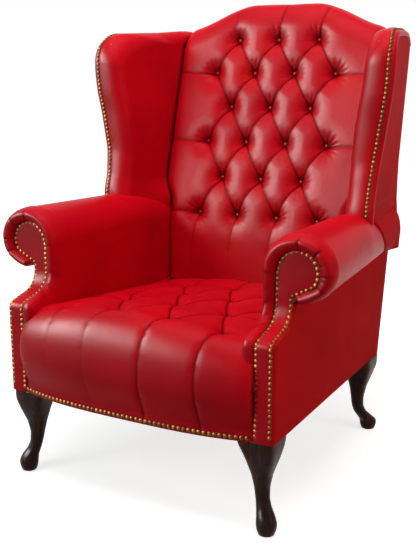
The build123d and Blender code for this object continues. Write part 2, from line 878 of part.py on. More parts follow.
# Stuffed back with its camel crest, buttoned in diamonds
back_shares = [-share for share in reversed(back_half_shares)] + [0] + list(back_half_shares)
back_sections = [back_section(share * back_half_width) for share in back_shares]
back_shares_up = (0, 0.12, 0.22, 0.31, 0.4, 0.55, 0.75, 1)
back_heights = [back_low_height + share * (back_split_height - back_low_height)
                for share in back_shares_up]
lower_back = [(pillow_y(height), height) for height in back_heights]
lower_back += [(rear_y(back_split_height) - web_depth, back_split_height),
               (rear_y(back_low_height) - web_depth, back_low_height)]
with BuildPart() as back_pad:
    loft(back_sections, ruled=True)
    prism_x(lower_back, -back_half_width, back_half_width)
    for side in (-1, 1):
        waist = [(side * back_low_half_width, back_low_height - overrun),
                 (side * front_half_width, back_low_height - overrun),
                 (side * front_half_width, back_waist_high),
                 (side * back_half_width, back_waist_high),
                 (side * back_low_half_width, back_waist_low)]
        prism_y(waist, 0, overall_depth, mode=Mode.SUBTRACT)
    for cutter in back_cutters:
        add(cutter, mode=Mode.SUBTRACT)

# Button rows of the seat: x and y of each, from the front row back
seat_buttons_xy = []
for row_index, count in enumerate(seat_row_counts):
    row_y = front_y + seat_front_row_depth + row_index * seat_row_pitch
    row = [((index - (count - 1) / 2) * seat_button_pitch, row_y) for index in range(count)]
    seat_buttons_xy.append(row)


def seat_floor(x, y):
    """The point on the button floor of the seat."""
    return (x, y, seat_z(x, y) - seat_button_depth)


def seat_groove(start, end):
    """A pleat of the seat between two (x, y) points."""
    return groove(seat_floor(*start), seat_floor(*end), (0, 0, 1), seat_groove_floor,
                  seat_groove_half_width, 2 * seat_button_depth)


seat_cutters = []
seat_planes = []
for row in seat_buttons_xy:
    for x, y in row:
        plane = Plane(origin=seat_floor(x, y))
        seat_planes.append(plane)
        seat_cutters.append(dimple(plane, seat_dimple_radius, seat_button_depth + button_height,
                                   crest_height))
for near, far in zip(seat_buttons_xy[:-1], seat_buttons_xy[1:]):
    for x, y in near:
        for far_x, far_y in far:
            if abs(far_x - x) < seat_button_pitch:
                seat_cutters.append(seat_groove((x, y), (far_x, far_y)))
for row in seat_buttons_xy[1::2]:
    for x, y in (row[0], row[-1]):
        side = math.copysign(1, x)
        seat_cutters.append(seat_groove((x, y), (side * seat_half_width, y)))
for x, y in seat_buttons_xy[0]:
    seat_cutters.append(seat_groove((x, y), (x, front_y - seat_bulge)))
for x, y in seat_buttons_xy[-1]:
    seat_cutters.append(seat_groove((x, y), (x, seat_rear_y)))


def seat_section(x):
    """Side view of the stuffed seat at x: top, rolled front and the apron over the rail."""
    low_y = bow_y(x)
    roll_y = low_y + seat_bulge - bow_depth
    front_bulge_y = low_y - (seat_bulge - bow_depth)
    top_y = low_y + seat_roll_depth
    top_z = seat_z(x, top_y)
    bend = math.sqrt(0.5)
    rear = seat_rear_y
    with BuildSketch(Plane.YZ.offset(x)) as section:
        with BuildLine():
            ThreePointArc((front_bulge_y, seat_roll_height),
                          (top_y - bend * (top_y - front_bulge_y),
                           seat_roll_height + bend * (top_z - seat_roll_height)),
                          (top_y, top_z))
            Polyline((top_y, top_z), (rear, seat_z(x, rear)), (rear, seat_base),
                     (low_y + apron_thickness, seat_base), (low_y + apron_thickness, leg_height),
                     (low_y, leg_height), (front_bulge_y, seat_roll_height))
        make_face()
    return section.sketch


# Stuffed seat, buttoned, with its rolled and bowed front
seat_half_shares = (0.2, 0.4, 0.55, 0.7, 0.85, 1)
seat_shares = [-share for share in reversed(seat_half_shares)] + [0] + list(seat_half_shares)
seat_sections = [seat_section(share * seat_half_width) for share in seat_shares]
with BuildPart() as seat_pad:
    loft(seat_sections, ruled=True)
    for side in (-1, 1):
        arm_space = rectangle(side * (arm_inner - 2 * gap), side * front_half_width,
                              front_y + seat_ear_depth, seat_rear_y + overrun)
        prism_z(arm_space, leg_height, crest_height, mode=Mode.SUBTRACT)
    under_back = rectangle(lumbar_y - gap, seat_rear_y + overrun,
                           back_low_height - gap, crest_height)
    prism_x(under_back, -front_half_width, front_half_width, mode=Mode.SUBTRACT)
    for cutter in seat_cutters:
        add(cutter, mode=Mode.SUBTRACT)

# Covered buttons and the twines that draw them in
button = dome(button_radius, button_rim, button_height)
with BuildPart() as back_buttons:
    add(placed(button, back_planes))
with BuildPart() as seat_buttons:
    add(placed(button, seat_planes))


def twine(start, direction, length):
    """A straight stretch of button twine."""
    with BuildPart() as cord:
        with BuildSketch(Plane(origin=start, z_dir=direction)):
            Circle(twine_radius)
        extrude(amount=length)
    return cord.part


twines = []
for plane in back_planes:
    start = plane.origin
    level_room = rear_y(start.Z) - web_depth - start.Y
    reach = level_room / (math.cos(tuft_lean) + math.sin(tuft_lean) * lean)
    twines.append(twine(start, (0, math.cos(tuft_lean), -math.sin(tuft_lean)), reach - gap))
for plane in seat_planes:
    twines.append(twine(plane.origin, (0, 0, -1), plane.origin.Z - seat_base))
with BuildPart() as button_twines:
    add(twines)

# Zigzag seat springs, their clips on the rails, and the hessian over them
spring_z = rail_top + clip_wall + spring_wire_radius
spring_start_y = front_y + stump_depth
spring_xs = [(index - (spring_count - 1) / 2) * spring_pitch for index in range(spring_count)]
spring_end_y = rear_y(rail_top) - frame_depth_far + clip_inset
spring_wave = (spring_end_y - spring_start_y) / (spring_wave_count + 3)
springs = []
for spring_x in spring_xs:
    points = [(spring_x, spring_start_y - clip_length), (spring_x, spring_start_y + spring_wave)]
    for wave in range(spring_wave_count):
        side = spring_half_width if wave % 2 else -spring_half_width
        wave_y = spring_start_y + (wave + 1) * spring_wave
        points.append((spring_x + side, wave_y))
        points.append((spring_x + side, wave_y + spring_wave))
    points.append((spring_x, spring_end_y - 2 * spring_wave))
    points.append((spring_x, spring_end_y + clip_length))
    with BuildPart() as spring:
        with BuildLine(Plane.XY.offset(spring_z)) as wire:
            FilletPolyline(*points, radius=spring_bend_share * spring_wave)
        with BuildSketch(Plane(origin=wire.line @ 0, z_dir=wire.line % 0)):
            Circle(spring_wire_radius)
        sweep(path=wire.line)
    springs.append(spring.part)
with BuildPart() as seat_springs:
    add(springs)

spring_clip_ys = (spring_start_y - clip_length / 2, spring_end_y + clip_length / 2)
with BuildPart() as spring_clips:
    for spring_x in spring_xs:
        for clip_y in spring_clip_ys:
            prism_z(rectangle(spring_x - clip_width / 2, spring_x + clip_width / 2,
                              clip_y - clip_length / 2, clip_y + clip_length / 2),
                    rail_top, hessian_low)
    for spring_x in spring_xs:
        with BuildSketch(Plane(origin=(spring_x, front_y, spring_z), z_dir=(0, 1, 0))):
            Circle(spring_wire_radius + gap / 2)
        extrude(amount=overall_depth, mode=Mode.SUBTRACT)

with BuildPart() as seat_hessian:
    prism_z(rectangle(-arm_inner, arm_inner, front_y + stump_depth - clip_length,
                      seat_rear_y), hessian_low, seat_base)

# Webbing of the inside back: level bands, with upright bands in front of them
webbing_row_pitch = (crest_rail_low - lower_back_rail_high) / webbing_row_count
with BuildPart() as back_webbing:
    for index in range(webbing_row_count):
        low = lower_back_rail_high + webbing_row_pitch * (index + 0.5)
        prism_x(leaning_slab(frame_depth_far, frame_depth_far + webbing_thickness, low,
                             low + webbing_width), -post_outer, post_outer)
    for index in range(webbing_column_count):
        x = (index - (webbing_column_count - 1) / 2) * webbing_column_pitch
        prism_x(leaning_slab(frame_depth_far + webbing_thickness, web_depth, lower_back_rail_low,
                             crest_rail_low + webbing_width),
                x - webbing_width / 2, x + webbing_width / 2)

# Cabriole legs: height share, throw share and width share of each level
leg_shares = [
    (1, 0, 1),
    (0.89, 0.1, 1.03),
    (0.77, 0.16, 0.84),
    (0.61, 0.08, 0.58),
    (0.47, 0.12, 0.44),
    (0.34, 0.32, 0.37),
    (0.26, 0.66, 0.46),
    (0.19, 1, 0.63),
    (0.12, 1, 0.61),
    (0.05, 1, 0.52),
    (0.014, 1, 0.48),
]
leg_round_shares = (0.1, 0.22, 0.32, 0.4, 0.45, 0.48, 0.48, 0.48, 0.48, 0.48, 0.48)
leg_x = side_x(0) - cover_thickness + gap - leg_block / 2


def cabriole_leg(center_y, throw_x, throw_y):
    """A leg on the right, thrown outwards in x and towards throw_y, down to its pad foot."""
    with BuildPart() as leg:
        for (height_share, throw_share, width_share), round_share in zip(leg_shares, leg_round_shares):
            width = width_share * leg_block
            center = (leg_x + throw_share * throw_x, center_y + throw_share * throw_y)
            with BuildSketch(Plane.XY.offset(height_share * leg_height)):
                with Locations(center):
                    RectangleRounded(width, width, round_share * width)
        loft()
        shoe = Plane.XY.offset(glide_thickness)
        split(bisect_by=shoe, keep=Keep.TOP)
    return leg.part


def leg_bolt(x, y):
    """The bolt that holds a leg to the frame above it."""
    with BuildPart() as bolt:
        with BuildSketch(Plane.XY.offset(leg_height - bolt_length / 2)):
            with Locations((x, y)):
                Circle(bolt_radius)
        extrude(amount=bolt_length)
    return bolt.part


front_leg_y = front_y + leg_block / 2
front_bolt = leg_bolt(stump_outer - bolt_inset, front_y + cover_thickness + stump_depth / 2)
rear_bolt_y = rear_y(leg_height) - cover_thickness - post_depth / 2
rear_bolt = leg_bolt(post_outer - bolt_inset, rear_bolt_y)
front_leg_blank = cabriole_leg(front_leg_y, front_foot_throw_x, -front_foot_throw_y)
rear_leg_blank = cabriole_leg(rear_leg_y, rear_foot_throw_x, rear_foot_throw_y)
with BuildPart() as front_leg:
    add(front_leg_blank)
    add(front_bolt, mode=Mode.SUBTRACT)
with BuildPart() as rear_leg:
    add(rear_leg_blank)
    add(rear_bolt, mode=Mode.SUBTRACT)
with BuildPart() as drilled_stump:
    add(arm_stump.part)
    add(front_bolt, mode=Mode.SUBTRACT)
with BuildPart() as drilled_post:
    add(back_post.part)
    add(rear_bolt, mode=Mode.SUBTRACT)
with BuildPart() as leg_bolts:
    add([front_bolt, rear_bolt])
    mirror(about=Plane.YZ)


def bracket_outline(length):
    """Outline of a knee bracket under a rail: deep at the leg, hollow, thin at its tip."""
    with BuildLine() as line:
        Polyline((length, leg_height - bracket_tip), (length, leg_height), (0, leg_height),
                 (0, leg_height - bracket_drop))
        ThreePointArc((0, leg_height - bracket_drop),
                      (length * bracket_hollow_share,
                       leg_height - bracket_drop * bracket_hollow_depth_share),
                      (length, leg_height - bracket_tip))
    return line.line


# Knee brackets beside each leg, one under the front or back rail and one under the side rail
front_bracket_y = front_y + 2 * gap
rear_bracket_y = rear_y(leg_height) - cover_thickness - bracket_thickness
leg_inner_x = leg_x - leg_block / 2
side_bracket_x = side_x(rear_leg_y - front_y) - cover_thickness - bracket_thickness
for name, blank, leg_y, along_y in (("front", front_leg_blank, front_leg_y, 1),
                                    ("rear", rear_leg_blank, rear_leg_y, -1)):
    near_y = front_bracket_y if along_y > 0 else rear_bracket_y
    with BuildPart() as brackets:
        with BuildSketch(Plane(origin=(leg_inner_x - gap, near_y, 0), x_dir=(-1, 0, 0),
                               z_dir=(0, 1, 0))):
            add(bracket_outline(bracket_length_front))
            make_face()
        extrude(amount=bracket_thickness)
        side_y = leg_y + along_y * (leg_block / 2 + gap)
        with BuildSketch(Plane(origin=(side_bracket_x, side_y, 0), x_dir=(0, along_y, 0),
                               z_dir=(along_y, 0, 0))):
            add(bracket_outline(bracket_length_side))
            make_face()
        extrude(amount=along_y * bracket_thickness)
        add(blank, mode=Mode.SUBTRACT)
    finish_pair(brackets, name + "_knee_brackets")

# Glides under the four feet
foot_places = []
for leg_y, throw_x, throw_y in ((front_leg_y, front_foot_throw_x, -front_foot_throw_y),
                                (rear_leg_y, rear_foot_throw_x, rear_foot_throw_y)):
    for side in (-1, 1):
        foot_places.append((side * (leg_x + throw_x), leg_y + throw_y))
with BuildPart() as foot_glides:
    with BuildSketch(Plane.XY):
        with Locations(*foot_places):
            Circle(glide_radius)
    extrude(amount=glide_thickness)

# Dust cover tacked under the seat frame, cut clear of the legs
with BuildPart() as dust_cover:
    cover_half = leg_inner_x - 3 * gap
    cover_front = front_bracket_y + bracket_thickness + gap
    cover_rear = rear_bracket_y - gap
    wing_front = front_leg_y + leg_block / 2 + 3 * gap
    wing_rear = rear_leg_y - leg_block / 2 - 3 * gap
    prism_z(rectangle(-cover_half, cover_half, cover_front, cover_rear),
            leg_height - dust_cover_thickness, leg_height)
    wide_half = side_bracket_x - gap
    prism_z(rectangle(-wide_half, wide_half, wing_front, wing_rear),
            leg_height - dust_cover_thickness, leg_height)

# Dowels that join the front, back and lower back rails to the stumps and posts
dowel_places = []
for height in (leg_height + dowel_rise, rail_top - dowel_rise):
    dowel_places.append((stump_inner, rail_rear - dowel_inset, height))
for low, high in ((leg_height, rail_top), (lower_back_rail_low, lower_back_rail_high)):
    for height in (low + dowel_rise, high - dowel_rise):
        dowel_y = rear_y(height) - cover_thickness - post_depth / 2
        dowel_places.append((post_inner, dowel_y, height))
dowels = []
for x, y, height in dowel_places:
    with BuildPart() as dowel:
        with BuildSketch(Plane(origin=(x - dowel_length / 2, y, height), z_dir=(1, 0, 0))):
            Circle(dowel_radius)
        extrude(amount=dowel_length)
    dowels.append(dowel.part)
with BuildPart() as frame_dowels:
    add(dowels)
    mirror(about=Plane.YZ)

dowelled_rails = []
for rail in (front_seat_rail, back_seat_rail, lower_back_rail):
    with BuildPart() as dowelled:
        add(rail.part)
        add(frame_dowels.part, mode=Mode.SUBTRACT)
    dowelled_rails.append(dowelled)
with BuildPart() as dowelled_stump:
    add(drilled_stump.part)
    add(dowels, mode=Mode.SUBTRACT)
with BuildPart() as dowelled_post:
    add(drilled_post.part)
    add(dowels, mode=Mode.SUBTRACT)

# Brass nails
nail = dome(nail_radius, nail_rim, nail_height)


def nail_planes(points, normals, lift, pitch):
    """Planes for nails on a path, evenly spaced by length, each facing its own way."""
    planes = []
    travelled = 0
    due = pitch / 2
    for index in range(len(points) - 1):
        start = Vector(*points[index])
        step = Vector(*points[index + 1]) - start
        while travelled + step.length >= due:
            share = (due - travelled) / step.length
            facing = Vector(*normals[index]) * (1 - share) + Vector(*normals[index + 1]) * share
            origin = start + step * share + facing.normalized() * lift
            planes.append(Plane(origin=origin, z_dir=facing))
            due += pitch
        travelled += step.length
    return planes


# Front edge of the seat
nail_z = leg_height + nail_edge
edge_steps = 60
edge_points = []
edge_normals = []
front_slope = (seat_bulge - bow_depth) / (seat_roll_height - leg_height)
for index in range(edge_steps + 1):
    x = (2 * index / edge_steps - 1) * (seat_half_width - gap)
    edge_points.append((x, bow_y(x) - front_slope * nail_edge, nail_z))
    turn = bow_depth * bow_power / bow_half * (abs(x) / bow_half) ** (bow_power - 1)
    edge_normals.append((math.copysign(turn, x), -1, -front_slope))
with BuildPart() as seat_rail_nails:
    add(placed(nail, nail_planes(edge_points, edge_normals, gap, nail_pitch)))

# Both edges of a facing, joined round the scroll
with BuildLine() as path:
    facing_points, facing_radii = facing_path(0)
    FilletPolyline(*facing_points, radius=facing_radii)
facing_line = path.wires()[0]
column_points = []
column_normals = []
walk = overrun + nail_edge
while (facing_line.position_at(walk / facing_line.length)).Y < scroll_height:
    place = facing_line.position_at(walk / facing_line.length)
    tangent = facing_line.tangent_at(walk / facing_line.length)
    column_points.append((place.X, place.Y))
    column_normals.append((-tangent.Y, tangent.X))
    walk += nail_pitch / 4
inner_column = facing_inner + nail_column_inset
outer_column = facing_outer - nail_column_inset
loop_radius = scroll_radius - nail_radius - gap
loop_y = front_y + facing_neck_depth
nail_route = []
nail_facings = []
for (y, z), (ny, nz) in zip(column_points, column_normals):
    if z < scroll_height:
        nail_route.append((inner_column, y, z))
        nail_facings.append((0, ny, nz))
loop_steps = 40
loop_start = math.radians(180)
loop_end = math.radians(-35)
for index in range(loop_steps + 1):
    angle = loop_start + (loop_end - loop_start) * index / loop_steps
    nail_route.append((scroll_x + loop_radius * math.cos(angle), loop_y,
                       scroll_height + loop_radius * math.sin(angle)))
    nail_facings.append((0, -1, 0))
for (y, z), (ny, nz) in reversed(list(zip(column_points, column_normals))):
    if z < scroll_height - loop_radius - nail_pitch / 2:
        nail_route.append((outer_column, y, z))
        nail_facings.append((0, ny, nz))
facing_nail_planes = nail_planes(nail_route, nail_facings, 2 * gap, nail_pitch)
for index in range(1, bottom_nail_count + 1):
    x = inner_column + (outer_column - inner_column) * index / (bottom_nail_count + 1)
    facing_nail_planes.append(Plane(origin=(x, front_y, nail_z), z_dir=(0, -1, 0)))
with BuildPart() as facing_nails:
    add(placed(nail, facing_nail_planes))

# Front edge and top of a wing
wing_route = []
for height, nail_x, nail_y in wing_levels():
    if height < wing_arc_z:
        wing_route.append((nail_x, nail_y, height))
top_nail_x = wing_waist_x + wing_flare
corner_steps = 16
for index in range(corner_steps + 1):
    angle = math.radians(90 * index / corner_steps)
    wing_route.append((top_nail_x, wing_arc_y - wing_corner_radius * math.cos(angle),
                       wing_arc_z + wing_corner_radius * math.sin(angle)))
edge_end_y = rear_y(wing_top_height) - cover_thickness - nail_pitch
edge_rise_share = (edge_end_y - wing_arc_y) / (overall_depth / 2 - wing_arc_y)
edge_end_z = wing_top_height + wing_top_rise * edge_rise_share
wing_route.append((cover_rear_x(wing_top_height) - nail_radius, edge_end_y, edge_end_z))
wing_facings = []
for index in range(len(wing_route)):
    after = min(index + 1, len(wing_route) - 1)
    run = Vector(*wing_route[after]) - Vector(*wing_route[after - 1])
    wing_facings.append((0, -run.Z, run.Y))
with BuildPart() as wing_nails:
    add(placed(nail, nail_planes(wing_route, wing_facings, 2 * gap, wing_nail_pitch)))

finish(dowelled_rails[0], "front_seat_rail")
finish(dowelled_rails[1], "back_seat_rail")
finish(dowelled_rails[2], "lower_back_rail")
finish(crest_rail, "crest_rail")
finish(corner_blocks, "corner_blocks")
finish(outside_back_panel, "outside_back_panel")
finish(back_pad, "back_pad")
finish(seat_pad, "seat_pad")
finish(back_buttons, "back_buttons")
finish(seat_buttons, "seat_buttons")
finish(button_twines, "button_twines")
finish(seat_springs, "seat_springs")
finish(spring_clips, "spring_clips")
finish(seat_hessian, "seat_hessian")
finish(back_webbing, "back_webbing")
finish(foot_glides, "foot_glides")
finish(leg_bolts, "leg_bolts")
finish(dust_cover, "dust_cover")
finish(frame_dowels, "frame_dowels")
finish(seat_rail_nails, "seat_rail_nails")
finish_pair(front_leg, "front_leg")
finish_pair(rear_leg, "rear_leg")
finish_pair(dowelled_post, "back_post")
finish_pair(dowelled_stump, "arm_stump")
finish_pair(side_seat_rail, "seat_rail")
finish_pair(arm_tacking_rail, "arm_tacking_rail")
finish_pair(arm_rail, "arm_rail")
finish_pair(wing_post, "wing_post")
finish_pair(wing_rail, "wing_rail")
finish_pair(arm_facing, "arm_facing")
finish_pair(arm_pad, "arm_pad")
finish_pair(wing_pad, "wing_pad")
finish_pair(outside_arm_panel, "outside_arm_panel")
finish_pair(outside_wing_panel, "outside_wing_panel")
finish_pair(facing_nails, "facing_nails")
finish_pair(wing_nails, "wing_nails")
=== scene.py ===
import json
import math

import bpy
import bmesh
import numpy as np
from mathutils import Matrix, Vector


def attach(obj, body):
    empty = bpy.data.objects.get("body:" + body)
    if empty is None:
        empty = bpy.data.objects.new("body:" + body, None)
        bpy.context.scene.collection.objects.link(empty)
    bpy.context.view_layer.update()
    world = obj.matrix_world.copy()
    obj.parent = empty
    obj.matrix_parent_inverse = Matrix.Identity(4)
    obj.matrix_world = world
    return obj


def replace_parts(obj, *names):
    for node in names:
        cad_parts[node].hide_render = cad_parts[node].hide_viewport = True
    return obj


# A buttoned red leather wing chair on four dark cabriole legs.
# Shapes are worked out in millimetres: X to the right seen from the front, Y to the back, Z up.
# Depths are counted backwards from the front plane of the two arm posts.

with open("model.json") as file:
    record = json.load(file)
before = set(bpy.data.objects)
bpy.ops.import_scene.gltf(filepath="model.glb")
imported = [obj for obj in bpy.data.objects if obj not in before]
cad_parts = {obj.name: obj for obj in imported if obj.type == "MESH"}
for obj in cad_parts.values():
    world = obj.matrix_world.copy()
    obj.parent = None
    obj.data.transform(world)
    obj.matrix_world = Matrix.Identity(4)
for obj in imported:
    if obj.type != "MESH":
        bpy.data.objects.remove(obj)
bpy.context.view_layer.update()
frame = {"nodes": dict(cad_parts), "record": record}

# Sizes that several pieces share, the same as in the frame
FRONT = -415.0
REAR = 460.0
REAR_TOP = 1100.0
LEAN = math.tan(math.radians(12.4))
LEG_HEIGHT = 214.0
POST_HALF = 345.0
SIDE_TAPER = 8.0
SIDE_LENGTH = 680.0
CREST = 1133.0
CREST_FLAT_HALF = 88.0
CREST_HALF = 300.0
CREST_DROP = 65.0
BACK_HALF = 289.7
BACK_LOW_HALF = 265.2
BACK_LOW = 372.0
BACK_WAIST = (596.0, 664.0)
LOIN_DEPTH = 588.0
LOIN_HEIGHT = 545.0
LOIN_BEND = 40.0
PILLOW_LEAN = 0.28
SEAT_HALF = 298.4
SEAT_CROWN = 448.0
SEAT_CROWN_DEPTH = 40.0
SEAT_FALL_SHARE = 0.1
SEAT_SIDE_DROP = 26.0
BOW = 31.0
BOW_HALF = 300.0
ARM_INNER = 266.3
SCROLL = np.array([350.0, 558.0])
SCROLL_RADIUS = 49.0
SCROLL_DEPTH = 96.0


# Small helpers


def ease(value, low, high):
    """Smooth step: 0 below low, 1 above high, 3t^2 - 2t^3 between."""
    t = np.clip((value - low) / (high - low), 0, 1)
    return t * t * (3 - 2 * t)


def soft(q, table, blur):
    """A broken line through the table's points, averaged over a window of half width blur."""
    xs, ys = np.array(table, float).T
    shifts = np.linspace(-1, 1, 9)
    weights = 1.05 - np.abs(shifts)
    total = sum(w * np.interp(np.asarray(q) + blur * s, xs, ys) for s, w in zip(shifts, weights))
    return total / weights.sum()


def along(points, shares):
    """Points at the given shares of a broken line's length."""
    points = np.array(points, float)
    steps = np.linalg.norm(np.diff(points, axis=0), axis=1)
    walk = np.concatenate([[0], np.cumsum(steps)]) / steps.sum()
    return np.stack([np.interp(shares, walk, points[:, k]) for k in range(points.shape[1])], -1)


def spline(control, count):
    """Uniform cubic B-spline along the second axis, clamped at both ends."""
    first, last = control[:, :1], control[:, -1:]
    c = np.concatenate([first, first, control, last, last], 1)
    spans = c.shape[1] - 3
    t = np.linspace(0, spans - 1e-9, count)
    k = t.astype(int)
    f = (t - k)[None, :, None]
    weights = ((1 - f) ** 3, 3 * f ** 3 - 6 * f ** 2 + 4, -3 * f ** 3 + 3 * f ** 2 + 3 * f + 1, f ** 3)
    return sum(w * c[:, k + n] for n, w in enumerate(weights)) / 6


def linear(code):
    """An sRGB hex value as linear red, green, blue and alpha."""
    parts = [int(code[i:i + 2], 16) / 255 for i in (1, 3, 5)]
    return [c / 12.92 if c <= 0.04045 else ((c + 0.055) / 1.055) ** 2.4 for c in parts] + [1.0]


def normals(points):
    """Unit normals of a grid of points, from the cross product of its two slopes."""
    n = np.cross(np.gradient(points, axis=0), np.gradient(points, axis=1))
    return n / np.maximum(np.linalg.norm(n, axis=-1, keepdims=True), 1e-9)


def on_side(name, mirror):
    """The name of a piece on the left of the chair, where pieces are mirrored, or the right."""
    return ("left_" if mirror else "right_") + name


def turn_outwards(mesh):
    """Recalculate a closed mesh's normals, so that they point outwards."""
    work = bmesh.new()
    work.from_mesh(mesh)
    bmesh.ops.recalc_face_normals(work, faces=work.faces)
    work.to_mesh(mesh)
    work.free()


def add_object(name, data):
    """A new object in the scene, from a mesh, a light or a camera."""
    item = bpy.data.objects.new(name, data)
    bpy.context.scene.collection.objects.link(item)
    return item


def show(name, mesh, material):
    """Show a mesh as a smooth piece of the chair, with its finish."""
    mesh.polygons.foreach_set("use_smooth", np.ones(len(mesh.polygons), bool))
    mesh.materials.append(material)
    return add_object(name, mesh)


def make(name, points, material, closed=False, inside=None, thick=0.0,
         painted_shade=None, mirror=False):
    """A piece from a grid of points in mm, with quads between neighbours. A closed piece joins
    its last column to the first and has a cap on its first and last row. An open one is turned
    away from the inside point, and a wall of the given thickness is grown inwards."""
    if mirror:
        points = points * np.array([-1.0, 1.0, 1.0])
        inside = None if inside is None else (-inside[0], inside[1], inside[2])
    rows, columns = points.shape[:2]
    i = np.arange(rows - 1)[:, None]
    j = np.arange(columns if closed else columns - 1)[None, :]
    ni, nj = i + 1, (j + 1) % columns
    faces = np.stack([i * columns + j, i * columns + nj, ni * columns + nj, ni * columns + j], -1)
    faces = faces.reshape(-1, 4)
    flat = points.reshape(-1, 3) / 1000.0
    if inside is not None:
        corner = flat[faces]
        face_normal = np.cross(corner[:, 2] - corner[:, 0], corner[:, 3] - corner[:, 1])
        out = corner.mean(1) - np.array(inside) / 1000.0
        if (face_normal * out).sum() < 0:
            faces = faces[:, ::-1]
    face_list = faces.tolist()
    if closed:
        ring = np.arange(columns)
        face_list += [ring.tolist(), ((rows - 1) * columns + ring[::-1]).tolist()]
    mesh = bpy.data.meshes.new(name)
    mesh.from_pydata(flat.tolist(), [], face_list)
    # painted shade: how much darker and less reflective the leather is drawn at each point
    if painted_shade is not None:
        layer = mesh.attributes.new("painted_shade", "FLOAT", "POINT")
        layer.data.foreach_set("value", painted_shade.reshape(-1).astype(np.float32))
    if closed:
        turn_outwards(mesh)
    mesh.update()
    piece = show(name, mesh, material)
    if thick:
        wall = piece.modifiers.new("wall", "SOLIDIFY")
        wall.thickness = thick / 1000.0
        wall.offset = -1
    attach(piece, "root")
    return piece


# The chair's own curves, the same ones that its frame is built on


def rear_y(z):
    """The outside back, a plane that leans back by 12.4 degrees."""
    return REAR - (REAR_TOP - z) * LEAN


def crest_z(x):
    """Camel crest: level in the middle, then an S curve, 3t^2 - 2t^3, down to the wings."""
    return CREST - CREST_DROP * ease(np.abs(x), CREST_FLAT_HALF, CREST_HALF)


def pillow_y(z):
    """Inside back: upright at the loins, then a steady lean, with the bend log(1 + e^t)."""
    bend = np.log1p(np.exp((z - LOIN_HEIGHT) / LOIN_BEND))
    return FRONT + LOIN_DEPTH + PILLOW_LEAN * LOIN_BEND * bend


def bow_depth(x):
    """Bow of the seat front, a cubic from the middle to each end."""
    return -BOW * (1 - np.minimum(np.abs(x) / BOW_HALF, 1) ** 3)


def seat_z(x, depth):
    """Seat crown: a steady fall to the back, and a parabola down to each side."""
    back_fall = SEAT_FALL_SHARE * (depth - SEAT_CROWN_DEPTH)
    return SEAT_CROWN - back_fall - SEAT_SIDE_DROP * (x / ARM_INNER) ** 2


def side_x(depth):
    """Half width of the lower body, in a straight line from the front post to the rear."""
    return POST_HALF - SIDE_TAPER * depth / SIDE_LENGTH


def back_side(z, half, low_half):
    """Half width of the inside back or of the wing's joint to it, narrower below the waist."""
    return half - (half - low_half) * (1 - ease(z, *BACK_WAIST))


# Leather, drawn in by buttons and folded into pleats

# Half width of the painted shade along a fold; where the creases round a button start and peak;
# how far the painted shade round a button sits above it; how close to the outermost button
# counts as outermost; where side pleats end
FOLD_HALF = 2.6
CREASE_START = 6.0
CREASE_PEAK = 16.0
SHADE_RISE = 7.0
SAME_COLUMN = 5.0
SIDE_PLEAT_END = 300.0


def pleat_field(x, s, pleats, reach, power):
    """How far each point is drawn in by the pleats, 0 to 1, and the painted shade along the pleat
    lines, from how close each point is to one. A pleat is a chord between two points, bowed
    sideways by a parabola. Across it the leather rises like the side of a cushion:
    (1 - (1 - r/reach)^2)^power, and pleats combine by product."""
    keep = np.ones_like(x)
    fold_shade = np.zeros_like(x)
    for (x0, s0), (x1, s1), bow, start, end in pleats:
        dx, ds = x1 - x0, s1 - s0
        length = math.hypot(dx, ds)
        t = ((x - x0) * dx + (s - s0) * ds) / length ** 2
        inside = np.clip(t, 0, 1)
        off = ((x - x0) * ds - (s - s0) * dx) / length - bow * 4 * inside * (1 - inside)
        r = np.hypot(off, (t - inside) * length)
        q = np.clip(r / reach, 0, 1)
        rise = (1 - (1 - q) ** 2) ** power
        strength = start + (end - start) * inside
        keep *= 1 - strength * (1 - rise)
        fold_shade = np.maximum(fold_shade, strength * np.exp(-(r / FOLD_HALF) ** 2))
    return 1 - keep, fold_shade


def funnels(x, s, buttons, wide, narrow, spread):
    """Leather drawn in by the buttons: a wide shallow cone, (1 - r)^1.8, and a narrow funnel,
    (1 - r)^1.7, that reaches further above the button than below it. Small radial creases, a
    cosine of the angle, are strongest above the button and outside the end buttons."""
    cone = np.zeros_like(x)
    funnel = np.zeros_like(x)
    lift = np.zeros_like(x)
    button_shade_distance = np.full_like(x, np.inf)
    outermost = max(abs(b[0]) for b in buttons)
    for number, (bx, bs) in enumerate(buttons):
        dx, ds = x - bx, s - bs
        r = np.hypot(dx, ds)
        cone = np.maximum(cone, np.clip(1 - r / wide, 0, 1) ** 1.8)
        reach = narrow * np.where(ds > 0, 1.25, 0.75)
        funnel = np.maximum(funnel, np.clip(1 - np.hypot(dx / narrow, ds / reach), 0, 1) ** 1.7)
        angle = np.arctan2(ds, dx)
        beat = np.cos(15 * angle + 1.7 * number + 1.6 * np.sin(2 * angle + number))
        beat = beat - 0.8 * np.clip(np.cos(31 * angle + 2.3 * number), 0, 1) ** 3
        end_side = np.sign(bx) * np.cos(angle) * (abs(bx) > outermost - SAME_COLUMN)
        where = 0.25 + 0.75 * np.clip(np.sin(angle) + 0.7 * end_side, 0, 1)
        band = ease(r, CREASE_START, CREASE_PEAK) * (1 - ease(r, CREASE_PEAK, spread))
        lift += beat * band * where
        # distance to a point a little above the button, round which painted shade is drawn
        button_shade_distance = np.minimum(button_shade_distance, np.hypot(dx, ds - SHADE_RISE))
    return cone, funnel, lift, button_shade_distance


def button_row(count, pitch, place):
    """A row of buttons, evenly spaced about the middle of the chair."""
    return [((i - (count - 1) / 2) * pitch, place) for i in range(count)]


def diamond_pleats(rows, pitch, bow):
    """A pleat from each button to its neighbours in the next row, bowed to either side."""
    folds = []
    for row, next_row in zip(rows[:-1], rows[1:]):
        for start in row:
            for end in next_row:
                if abs(end[0] - start[0]) < pitch:
                    folds.append((start, end, bow if end[0] < start[0] else -bow, 1.0, 1.0))
    return folds


